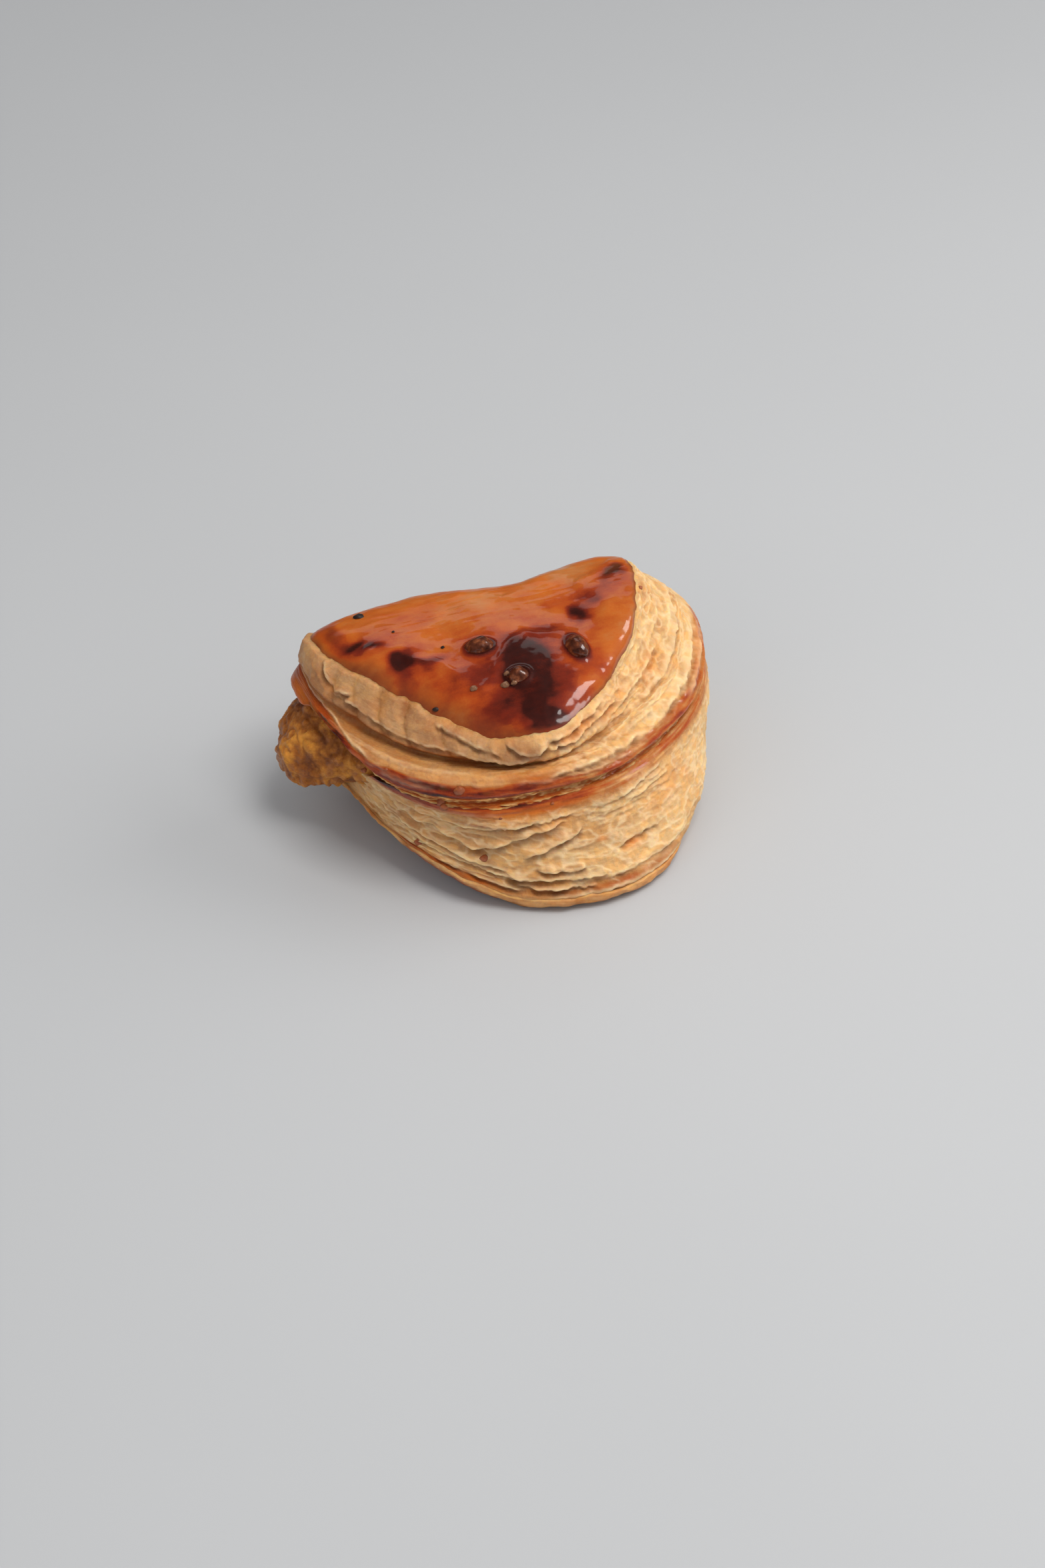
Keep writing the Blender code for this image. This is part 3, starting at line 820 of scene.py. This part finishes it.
rows = filling_rows()
normal = outward(rows)
lobes = 1.6 * rough(rows, 8.0, 71, 1) + 1.3 * np.abs(rough(rows, 4.4, 72, 2)) + 0.2 * rough(rows, 1.6, 73, 2)
inside = smooth_step((rows[..., 0] + 47.0) / 6.0)
rows = rows + normal * ((lobes - 0.5) * (1 - inside) - 2.6 * inside)[..., None]
# Painted shade: the filling is darker in the hollows between its lumps.
piece = shell("baked_filling", rows, hollow=np.clip(0.5 - 0.45 * lobes, 0.0, 1.0))

finish = Finish("baked filling", Subsurface_Weight=0.3, Subsurface_Scale=0.003, Subsurface_Radius=(1.0, 0.5, 0.15), Coat_Roughness=0.18)
finish.shader.inputs["Specular IOR Level"].default_value = 0.3
place = finish.place()
hollow = finish.attribute("hollow")
lumps = finish.noise(place, 3.0, detail=4.0)
grains = finish.noise(place, 0.8, detail=3.0)
tone = hollow * 0.7 + (lumps - 0.5) * 0.9 + (grains - 0.5) * 0.4 + 0.1
stops = (
    (0.0, linear(204, 136, 52)),
    (0.3, linear(166, 98, 34)),
    (0.6, linear(124, 66, 24)),
    (1.0, linear(80, 36, 14)),
)
finish.paint("Base Color", finish.node("ValToRGB", {"stops": stops}, (tone.clamped(),)))
finish.paint("Roughness", 0.42 + 0.25 * grains)
finish.paint("Coat Weight", lumps.step(0.45, 0.6) * 0.4)
finish.paint("Normal", finish.bump(grains, 0.4, 0.6, below=finish.bump(lumps, 0.5, 1.6)))
piece.data.materials.append(finish.material)
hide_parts("filling")


# ---- The upper leaves ----------------------------------------------------------------------------------
# The upper half of the folded sheet, under the glaze: a band of soft pleats at the left and front, a broad torn
# cut face at the right, the crease, the pale lip below it and the smooth rolled edge over the seam.

GLAZE_EDGE = (
    (0, 2.1), (8, 2.3), (13, 2.9), (17, 5.0), (20, 8.5), (24, 12.3), (152, 12.3), (157, 9.0), (162, 5.0), (167, 3.0), (178, 2.72),
    (190, 2.42), (206, 2.22), (219, 2.2), (231, 2.5), (240, 2.76), (251, 2.98), (262, 2.9), (275, 3.02), (285, 2.9),
    (296, 2.76), (308, 2.52), (323, 2.6), (334, 2.25), (342, 2.08), (350, 2.05),
)
UPPER_RIM = (
    (0, 7.35), (20, 7.5), (150, 8.6), (168, 8.9), (176, 8.3), (181, 7.2), (186, 6.25), (192, 6.1), (200, 6.25), (208, 6.6),
    (216, 6.95), (226, 7.15), (240, 7.3), (300, 7.35),
)
# Bearing, depth and width of the grooves between the soft pleats of the band, and its hollows and swellings.
PLEATS = ((190, 0.9, 1.8), (198.5, 1.2, 2.2), (209, 1.5, 2.8), (219, 1.2, 2.4), (233, 0.9, 2.4), (243, 0.5, 2.0))
UPPER_SWELLINGS = (
    (205, 4.75, 8, 0.55, -0.9), (200, 4.1, 7, 0.35, -0.4), (226, 3.0, 16, 0.4, 0.9), (247, 3.4, 10, 0.3, 0.5),
    (184, 6.2, 9, 0.9, -0.9),
)
UPPER_LEAVES = (
    Leaf(183, 199, (2.75, 3.1, 3.28, 3.0), 0.9, 1.1, 2.2),
    Leaf(190, 246, (3.46, 3.42, 3.46, 3.6, 3.68, 3.84), 1.0, 0.9, 3.4),
    Leaf(236, 268, (3.82, 3.9, 3.88, 3.8), 0.6, 0.5, 2.6),
    Leaf(166, 214, (4.6, 4.75, 4.95, 5.4, 6.0, 6.3), 0.5, 0.4, 3.0),
    Leaf(229, 254, (2.62, 3.0, 3.3, 3.55), 0.8, 0.9, 1.6),
    Leaf(255, 269, (3.1, 3.55, 3.6, 3.2), 0.9, 1.5, 2.2),
    Leaf(262, 300, (3.5, 3.62, 3.5, 3.4), 0.7, 1.2, 2.0),
    Leaf(268, 292, (3.2, 3.3, 3.1), 0.7, 1.4, 1.8),
    Leaf(292, 330, (3.9, 3.8, 3.9, 4.1), 0.6, 0.8, 1.6),
    Leaf(300, 352, (4.9, 5.0, 5.1, 5.2), 0.5, 0.7, 1.5),
    Leaf(306, 352, (6.35, 6.3, 6.25, 6.2), 0.5, 0.8, 1.0),
    Leaf(318, 356, (6.7, 6.65, 6.6), 0.4, 0.6, 0.9),
    Leaf(262, 296, (6.3, 6.2, 6.3), 0.5, 1.1, 1.6),
)
UPPER_BAKE = (
    (279, 3.4, 6, 0.25, 0.16), (320, 4.1, 8, 0.5, 0.06), (276, 6.0, 1.2, 0.5, 0.2), 
    (300, 6.9, 30, 0.12, 0.10), (262, 6.3, 12, 0.25, 0.14),
)
UPPER_AMBER = (
    (320, 4.1, 8, 0.5, 0.4), (295, 3.5, 12, 0.5, 0.3), (278, 3.4, 7, 0.3, 0.4), (300, 4.9, 16, 0.35, 0.22),
    (340, 6.6, 14, 0.4, 0.3), (193, 3.2, 4, 0.25, 0.2), (180, 6.4, 10, 1.1, 0.5), (262, 5.9, 14, 0.4, 0.3),
)


def glaze_edge(bearing):
    """The level where the glaze ends: the table's smooth curve, ragged by noise where it isn't the fold."""
    ring = pattern_place(bearing, 0.0 * bearing)
    edge = round_bearings(GLAZE_EDGE, bearing)
    return edge + (0.04 * rough(ring, 9.0, 111, 2) + 0.05 * rough(ring, 2.6, 112)) * smooth_step(4.0 - edge)


def upper_wall():
    """Rows from under the glaze down over the pleats, crease, lip and rolled edge, then in under it to the core."""
    bearing = even_bearings(BEARINGS)
    rim = round_bearings(UPPER_RIM, bearing)
    level = levels_between(np.full(BEARINGS, 1.7), rim, 132)
    wall = skin(bearing, level)
    place = pattern_place(bearing, level)
    past_glaze = depth_of(level) - depth_of(glaze_edge(bearing))
    turned = from_left(bearing)
    right = smooth_step((turned - 258.0) / 16.0) * smooth_step((388.0 - turned) / 12.0)
    on_band = (1.0 - right) * smooth_step(past_glaze / 1.6) * (1.0 - smooth_step((level - 3.9) / 0.5))
    on_face = right * smooth_step(past_glaze / 2.0) * (1.0 - smooth_step((level - 6.3) / 0.4))
    leaning = place + place[..., 2:] * (0.45, 0.0, 0.0)
    pleats = 0.35 * rough(leaning, (3.2, 3.2, 14.0), 81) + 0.3 * rough(leaning, (7.0, 7.0, 14.0), 82)
    pleats = pleats + 0.5 * rough(leaning, (1.6, 1.6, 12.0), 86) * smooth_step((196.0 - bearing) / 6.0)
    for at_bearing, height, width in PLEATS:
        past = bearing - at_bearing - 3.0 * (level - 3.0) + 1.2 * rough(place, 4.0, 87)
        pleats = pleats + 0.2 * height - height * np.exp(-np.abs(past) / width)
    torn, above, below = terraced(1.3 * rough(place, (15, 15, 9), 83, 2) + 0.35 * rough(place, (4.5, 4.5, 3), 84), 1.0)
    small = scattered_leaves(34, (262, 352), (2.4, 6.7), (5, 20), (0.1, 0.35), (0.1, 0.35), (0.7, 1.8), 12)
    few = scattered_leaves(14, (190, 262), (5.2, 6.7), (8, 30), (0.05, 0.2), (0.05, 0.2), (0.7, 1.6), 13)
    relief, pale, shade = leaves_relief((*UPPER_LEAVES, *small, *few), bearing, level, 300)
    relief = relief + pleats * on_band + 0.12 * torn * on_face + 0.12 * rough(place, (4, 4, 1.2), 85, 3)
    crests = ridged(place, (10, 10, 7), 88)
    relief = relief + on_face * (0.65 * crests + 0.2 * rough(place, 1.5, 89, 2))
    # Painted highlight on the crests of the cut face, partly the whitish colour of torn leaves.
    pale = np.maximum(pale, 0.7 * on_face * smooth_step((crests - 0.34) / 0.14))
    relief = relief + spots(UPPER_SWELLINGS, bearing, level)
    # Painted highlight above the edges of the torn shelves and painted shade below them.
    pale, shade = np.maximum(pale, 0.6 * above * on_face), np.maximum(shade, 0.3 * below * on_face)
    # Painted shade over the whole pleated band, which faces away from the light, and more of it in the grooves between
    # the pleats; painted highlight on the pleats' crests.
    shade = np.maximum(shade, on_band * (0.40 + 0.45 * smooth_step(-0.9 * pleats)))
    pale = np.maximum(pale, 0.2 * on_band * smooth_step(1.5 * pleats))
    under_glaze = 1.0 - smooth_step((past_glaze + 0.9) / 0.8)
    deep = 0.6 + 1.6 * smooth_step((-past_glaze - 1.5) / 2.0)
    covered = np.maximum(round_bearings(UNDER_FOLD, bearing), 0.0 * level)
    relief = relief * (1 - covered) * (1 - under_glaze) - np.maximum(FOLD_SKIN * covered, deep * under_glaze)
    wall = wall + outward(wall) * relief[..., None]
    under_dome = towards_core(wall[:1], (2.0, 12.0), (-2.0, -9.0))[:0:-1]
    rolled = towards_core(wall, (0.5, 1.3, 2.6, 4.6, 7.5, 12.0, 20.0), (-0.55, -0.95, -1.1, -1.2, -1.2, -1.0, -0.6))
    return bearing, level, np.concatenate([under_dome, rolled]), place, pale, shade, right


bearing, level, rows, place, pale, shade, right = upper_wall()
from_rim = depth_of(round_bearings(UPPER_RIM, bearing)) - depth_of(level)
rim_width = 3.0 - 1.9 * smooth_step((222.0 - bearing) / 14.0)
rolled_edge = (1.0 - smooth_step((from_rim - rim_width) / 1.2)) * smooth_step((from_left(bearing) - 180.0) / 8.0)
# The crease under the pleated band is painted as shade: browner in the baking field and darker in the shade field.
crease = smooth_step((level - 3.6) / 0.6) * (1.0 - smooth_step((level - 5.0) / 0.5)) * (1 - right)
thin_rim = np.interp(bearing, (166, 188, 203, 214), (4.6, 4.95, 6.0, 6.4))
fold_end = smooth_step((210.0 - bearing) / 10.0) * smooth_step((bearing - 150.0) / 8.0) * smooth_step((level - thin_rim + 0.15) / 0.4)
bake = 0.34 - 0.16 * right + 0.08 * crease + (0.35 - 0.12 * smooth_step((216.0 - bearing) / 10.0) - 0.05 * right) * rolled_edge + 0.26 * fold_end + 0.08 * rough(place, (12, 12, 7), 91, 2)
bake = bake + 0.10 * right * rough(place, (6, 6, 4), 92, 2) + 0.2 * rolled_edge * rough(place, (9, 9, 0.9), 93, 3)
bake = bake + spots(UPPER_BAKE, bearing, level)
shade = np.maximum(shade, 0.6 * crease)
amber = spots(UPPER_AMBER, bearing, level) + 0.15 * smooth_step(rough(place, (6, 6, 5), 94, 2) * 2.0)
piece = dough_piece("upper_leaves", rows, 2, place, 0.12, bake=bake, pale=pale, shade=shade, amber=amber)


# ---- The web in the seam -------------------------------------------------------------------------------
# Where the two halves of the sheet have baked together: a band of torn brown fibres at the bottom of the
# groove between them, which keeps inside at the open end.

WEB_DEPTH = ((0, 1.0), (200, 9.0), (208, 3.0), (213, 0.3), (222, -0.6), (236, -1.0), (262, -0.9), (280, 0.0), (350, 0.3))


def web_rows():
    """Rows from the core out to the groove, down it, and back in, with stretched noise as the fibres."""
    bearing = even_bearings(BEARINGS)
    level = levels_between(np.full(BEARINGS, 6.9), np.full(BEARINGS, 8.9), 30)
    band = skin(bearing, level)
    place = pattern_place(bearing, level)
    fibres = 0.6 * rough(place, (6, 6, 1.0), 95, 2) + 0.35 * rough(place, (1.6, 1.6, 1.2), 96, 2)
    ends = 1.0 - np.sin(np.linspace(0.0, np.pi, 30))[:, None] ** 0.5
    covered = round_bearings(UNDER_FOLD, bearing)
    inset = round_bearings(WEB_DEPTH, bearing) + 2.5 * ends + 4.0 * covered - fibres
    band = pushed_in(band, inset[..., None])
    top = towards_core(band[:1], (4.0, 14.0), (0.0, 0.0))[:0:-1]
    rows = np.concatenate([top, towards_core(band, (4.0, 14.0), (0.0, 0.0))])
    return level, rows, place, fibres


level, rows, place, fibres = web_rows()
# Painted highlight: the fibres that stand out of the groove are paler.
bake = 0.56 - 0.30 * smooth_step(fibres * 1.6 + 0.3) + 0.08 * rough(place, (8, 8, 3), 97)
hidden = np.zeros_like(bake)
piece = dough_piece("seam_web", rows, 2, place, 0.2, bake=bake, pale=hidden, shade=hidden, amber=hidden + 0.1)


# ---- The glazed top ------------------------------------------------------------------------------------
# The outermost leaf, brushed with egg and sugar and baked to a dark shine: it covers the dome, ends in a thin
# ragged edge over the pleats, and at the back runs down over the fold to the base.

GLAZE_BEARINGS = 560

# Burnt patches of the glaze: place in X and Y from the axis, reach in X and Y, and how dark.
BURNS = (
    (31.4, 0.3, 2.6, 1.9, 0.36),
    (29.0, -4.0, 3.5, 4.5, 0.10),
    (26.0, -8.5, 4.5, 2.6, 0.06),
    (16.6, -12.0, 2.6, 3.0, 0.26),
    (21.9, -7.4, 3.0, 3.0, 0.14),
    (3.6, -16.5, 8.0, 3.6, 0.11),
    (-2.5, -20.0, 5.0, 3.6, 0.12),
    (-2.6, -26.0, 5.2, 6.2, 0.30),
    (-2.8, -32.0, 4.6, 5.0, 0.20),
    (1.0, -36.5, 4.0, 3.2, 0.05),
    (-4.0, -30.0, 13.0, 13.0, 0.10),
    (-7.3, -41.2, 3.8, 3.2, 0.34),
    (-1.4, -44.0, 3.2, 2.6, 0.24),
    (-17.5, -25.0, 6.0, 5.0, 0.14),
    (-32.2, -13.6, 3.6, 2.6, 0.40),
    (-27.4, -16.0, 5.5, 1.8, 0.20),
    (-33.5, -19.5, 2.6, 4.5, 0.14),
    (-45.0, 2.0, 2.2, 3.6, 0.20),
    (-42.5, -3.6, 3.0, 1.8, 0.26),
    (-38.6, -6.8, 3.6, 1.4, 0.20),
    (-45.6, 7.6, 3.5, 3.5, 0.14),
    (-16.0, -37.5, 9.0, 3.0, 0.08),
)
RIDGES = (
    ((-15.8, -29.4), (-8.0, -21.5), (-0.3, -15.5), (5.0, -17.0), (11.6, -19.6)),
    ((-30.0, -14.0), (-24.0, -18.5), (-20.5, -24.0)),
    ((22.0, -1.0), (27.0, 1.5), (33.0, 4.0)),
)


def from_line(x, y, corners):
    """How far each point is, in plan, from a line through these corners."""
    nearest = np.full(x.shape, 1e9)
    for (x0, y0), (x1, y1) in zip(corners, corners[1:]):
        share = np.clip(((x - x0) * (x1 - x0) + (y - y0) * (y1 - y0)) / ((x1 - x0) ** 2 + (y1 - y0) ** 2), 0.0, 1.0)
        nearest = np.minimum(nearest, np.hypot(x - x0 - share * (x1 - x0), y - y0 - share * (y1 - y0)))
    return nearest


NUTS = ("nut_left", "nut_right", "nut_front")
NUT_BOXES = [[np.array(corner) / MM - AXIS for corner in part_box(name)] for name in NUTS]


def from_nuts(x, y):
    """How far each point is, in plan, from the edge of the nearest nut."""
    nearest = np.full(x.shape, 1e9)
    for low, high in NUT_BOXES:
        (at_x, at_y, _), (reach_x, reach_y, _) = (low + high) / 2, (high - low) / 2
        share = np.hypot((x - at_x) / reach_x, (y - at_y) / reach_y)
        nearest = np.minimum(nearest, (share - 1.0) * min(reach_x, reach_y))
    return nearest


def dome_relief(top):
    """What the dome has over its courses: ridges, blisters and fine wrinkles along the back."""
    x, y = top[..., 0], top[..., 1]
    height = 0.35 * rough(top, 13.0, 114) + 0.22 * rough(top, 5.5, 116) + 0.06 * rough(top, 2.2, 115)
    x_stray, y_stray = x + 1.2 * rough(top, 5.0, 117, 2), y + 1.2 * rough(top, 5.0, 118, 2)
    for corners in RIDGES:
        height = height + 0.5 * np.exp(-((from_line(x_stray, y_stray, corners) / 2.0) ** 2))
    height = height + 0.55 * np.exp(-(((from_nuts(x, y) - 0.2) / 0.8) ** 2))
    at_back = smooth_step((y + 12.0) / 12.0)
    wrinkles = (1.0 - np.minimum(1.0, 1.6 * np.abs(rough(top, (17, 4.5, 9), 113, 2)))) ** 2
    return height + 0.12 * wrinkles * at_back


def glaze_rows():
    """Rows from the top of the dome to the ragged edge, round it, and back underneath to the middle."""
    bearing = even_bearings(GLAZE_BEARINGS)
    edge = glaze_edge(bearing)
    dome = levels_between(np.full(GLAZE_BEARINGS, 0.03), np.full(GLAZE_BEARINGS, 2.0), 120)
    slope = levels_between(np.full(GLAZE_BEARINGS, 2.0), edge, 72)[1:]
    level = np.concatenate([dome, slope])
    top = skin(bearing, level)
    from_edge = depth_of(edge) - depth_of(level)
    thin_edge = smooth_step(from_edge / 2.5)
    relief = 0.12 + (dome_relief(top) + 0.15) * thin_edge
    top = top + outward(top) * relief[..., None]
    normal = outward(top)
    lip = top[-1] - 0.4 * normal[-1]
    lip_in = top[-4] - 0.9 * normal[-4]
    under = top[[130, 90, 40, 8]] - 1.6 * normal[[130, 90, 40, 8]]
    return bearing, level, np.concatenate([top, lip[None], lip_in[None], under]), from_edge


bearing, level, rows, from_edge = glaze_rows()
hidden_rows = len(rows) - len(level)
top = top_of_glaze = rows[:-hidden_rows]
x, y = top[..., 0] + 1.8 * rough(top, 6.0, 121, 2), top[..., 1] + 1.8 * rough(top, 6.0, 122, 2)
burnt_and_shaded = np.zeros_like(x)
for at_x, at_y, reach_x, reach_y, dark in BURNS:
    away = ((x - at_x) / reach_x) ** 2 + ((y - at_y) / reach_y) ** 2
    burnt_and_shaded = burnt_and_shaded + dark * np.exp(-(away**1.3)) + 0.25 * dark * np.exp(-away / 3.0)
# Painted shade in a ring round the foot of each nut, where it sits in the glaze.
burnt_and_shaded = burnt_and_shaded + 0.22 * np.exp(-((np.maximum(from_nuts(top[..., 0], top[..., 1]) - 0.2, 0.0) / 0.8) ** 2))
back_wall = smooth_step((level - 3.2) / 2.0)
at_back = smooth_step((top[..., 1] + 6.0) / 14.0)
edge_width = 2.0 + 6.0 * smooth_step((bearing - 186.0) / 14.0) * smooth_step((266.0 - bearing) / 20.0)
thin_brown = (1.0 - smooth_step(from_edge / edge_width)) * (1 - back_wall)
bake = 0.55 - 0.05 * smooth_step((top[..., 0] - 16.0) / 10.0) + burnt_and_shaded + 0.08 * rough(top, 15.0, 123, 2) + 0.04 * rough(top, (14, 4, 6), 124, 2)
bake = np.minimum(bake, 0.88) - 0.08 * thin_brown - 0.06 * at_back - 0.06 * back_wall
shine = (1.0 - 0.3 * thin_brown) * (1.0 - 0.85 * back_wall) * (1.0 - 0.75 * at_back)
amber = 0.35 * at_back * (1 - back_wall) + 0.3 * smooth_step(rough(top, 9.0, 125, 2) * 2.0) * (burnt_and_shaded < 0.1)
fields = {"bake": bake, "shine": shine, "amber": amber, "brown": thin_brown}
piece = shell("glazed_top", rows, **{key: spread(field, 0, hidden_rows) for key, field in fields.items()})

finish = Finish("egg glaze", Subsurface_Weight=0.1, Subsurface_Scale=0.002, Subsurface_Radius=(1.0, 0.35, 0.12), Coat_Roughness=0.09, Coat_IOR=1.5)
finish.shader.inputs["Specular IOR Level"].default_value = 0.25
place = finish.place()
shine = finish.attribute("shine")
clouds = finish.noise(place, 5.0, detail=3.0)
streaks = finish.noise(finish.stretched(place, 3.0, 1.0, 1.0), 1.6, detail=3.0)
specks = finish.noise(place, 0.5, detail=2.0)
bake = finish.attribute("bake") + (clouds - 0.5) * 0.18 + (streaks - 0.5) * 0.12 + (specks - 0.5) * 0.07
colour = finish.node("ValToRGB", {"stops": BAKING}, (bake.clamped(),))
colour = finish.mix(finish.attribute("amber") * streaks, colour, linear(214, 112, 22))
brown = finish.attribute("brown")
finish.paint("Base Color", finish.mix(brown * 0.7 + (clouds - 0.5) * brown, colour, linear(110, 48, 22)))
finish.paint("Roughness", 0.30 + shine * 0.25 + (clouds - 0.5) * 0.2)
finish.paint("Coat Weight", shine * 0.9)
finish.paint("Normal", finish.bump(specks * (0.2 + brown), 0.5, 0.12, below=finish.bump(streaks, 0.2, 0.4)))
piece.data.materials.append(finish.material)


# ---- The nuts ------------------------------------------------------------------------------------------
# Three roasted nut pieces sunk in the glaze, dark brown and wet with it. Each is an uneven bead with its
# poles at its two ends.


def nut_rows(low, high, seed, rows=44, around=72, dent=0.1):
    """An ellipsoid that fills its solid's box, dented by noise and pinched by two waves round it."""
    centre, half = (low + high) / 2.0, (high - low) / 2.0
    along = np.linspace(0.0, np.pi, rows)[1:-1, None]
    phase = np.linspace(0.0, 2.0 * np.pi, around, endpoint=False)[None]
    ball = np.stack([-np.cos(along) + 0 * phase, np.sin(along) * np.cos(phase), np.sin(along) * np.sin(phase)], axis=-1)
    dents = 1.0 + dent * rough(ball, 0.9, seed, 3) + 0.04 * np.sin(2 * phase + 3 * along)[..., None][..., 0]
    return centre + ball * half * dents[..., None]


finish = Finish("glazed nut", Coat_Weight=1.0, Coat_Roughness=0.12)
place = finish.place()
patches = finish.noise(place, 1.8, detail=3.0)
wrinkles = finish.noise(place, 0.6, detail=2.0)
stops = ((0.3, linear(46, 17, 8)), (0.55, linear(92, 42, 20)), (0.8, linear(150, 82, 42)))
finish.paint("Base Color", finish.node("ValToRGB", {"stops": stops}, (patches,)))
finish.paint("Roughness", 0.3 + 0.2 * patches)
finish.paint("Normal", finish.bump(wrinkles, 0.15, 0.3))
for number, (name, (low, high)) in enumerate(zip(NUTS, NUT_BOXES)):
    piece = shell("glazed_" + name, nut_rows(low + (-0.3, -0.3, 0.6), high + (0.3, 0.3, 1.5), 131 + number))
    piece.data.materials.append(finish.material)
    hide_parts(name)


# ---- The seeds and the crumbs --------------------------------------------------------------------------
# Poppy seeds on the glaze, nut chips beside the burnt patch, and brown crumbs that have stuck to the seam, the
# wall and the base.

# Seeds and chips: place in X and Y, reach along the glaze and out of it. Crumbs: bearing, level and reaches.
SEEDS = (
    (-31.1, -3.4, 0.45, 0.4), (-20.9, -12.6, 0.55, 0.5), (-29.5, -29.3, 0.9, 0.5), (-36.5, 7.4, 1.4, 0.8),
)
CHIPS = ((-11.0, -30.9, 1.2, 0.8), (-19.1, -29.4, 1.0, 0.8), (-9.6, -28.4, 0.9, 0.7), (-9.0, -31.8, 0.8, 0.7))
CRUMBS = (
    (238.0, 6.6, 1.4, 1.2), (232.6, 8.5, 1.3, 1.2), (233.6, 8.85, 1.2, 1.0), (218.0, 6.4, 0.5, 0.4), (224.0, 11.0, 1.2, 1.1),
    (242.5, 10.6, 1.3, 0.9), (207.5, 8.9, 0.8, 0.7), (248.0, 9.2, 0.5, 0.4), (262.0, 8.9, 0.5, 0.4), (346.0, 2.3, 0.7, 0.6),
)


def pebble(centre, along, out, seed):
    """A dented bead around this place."""
    reach = np.array((along, 0.75 * along, out))
    return nut_rows(centre - reach, centre + reach, seed, 16, 20, 0.24)


def on_dome(x, y):
    """The place on the glaze straight above this point of the plan."""
    gap = np.hypot(dome_points[..., 0] - x, dome_points[..., 1] - y) - 0.02 * dome_points[..., 2]
    return dome_points[np.unravel_index(gap.argmin(), gap.shape)]


def beads(name, places, seed):
    """One piece of many dented beads: each given by its centre and its reach along and out."""
    points, faces = [], []
    for number, (centre, along, out) in enumerate(places):
        some, theirs = sewn(pebble(centre, along, out, seed + number))
        start = sum(len(earlier) for earlier in points)
        points.append(some)
        faces += [[start + corner for corner in face] for face in theirs]
    return add_piece(name, np.concatenate(points), faces, {})


dome_points = top_of_glaze[:190]
finish = Finish("poppy seed", Roughness=0.45)
finish.paint("Base Color", finish.mix(finish.noise(finish.place(), 0.4), linear(22, 18, 18), linear(58, 44, 40)))
piece = beads("poppy_seeds", [(on_dome(x, y), along, out) for x, y, along, out in SEEDS], 151)
piece.data.materials.append(finish.material)

finish = Finish("nut chip", Roughness=0.35, Coat_Weight=0.6)
finish.paint("Base Color", finish.mix(finish.noise(finish.place(), 0.9), linear(70, 40, 28), linear(164, 116, 82)))
piece = beads("nut_chips", [(on_dome(x, y), along, out) for x, y, along, out in CHIPS], 161)
piece.data.materials.append(finish.material)

finish = Finish("brown crumb", Roughness=0.5, Coat_Weight=0.4, Coat_Roughness=0.2)
finish.paint("Base Color", finish.mix(finish.noise(finish.place(), 1.2), linear(96, 36, 18), linear(186, 104, 56)))
places = [(skin(np.array([b]), np.array([[l]]))[0, 0], along, out) for b, l, along, out in CRUMBS]
piece = beads("brown_crumbs", places, 171)
piece.data.materials.append(finish.material)
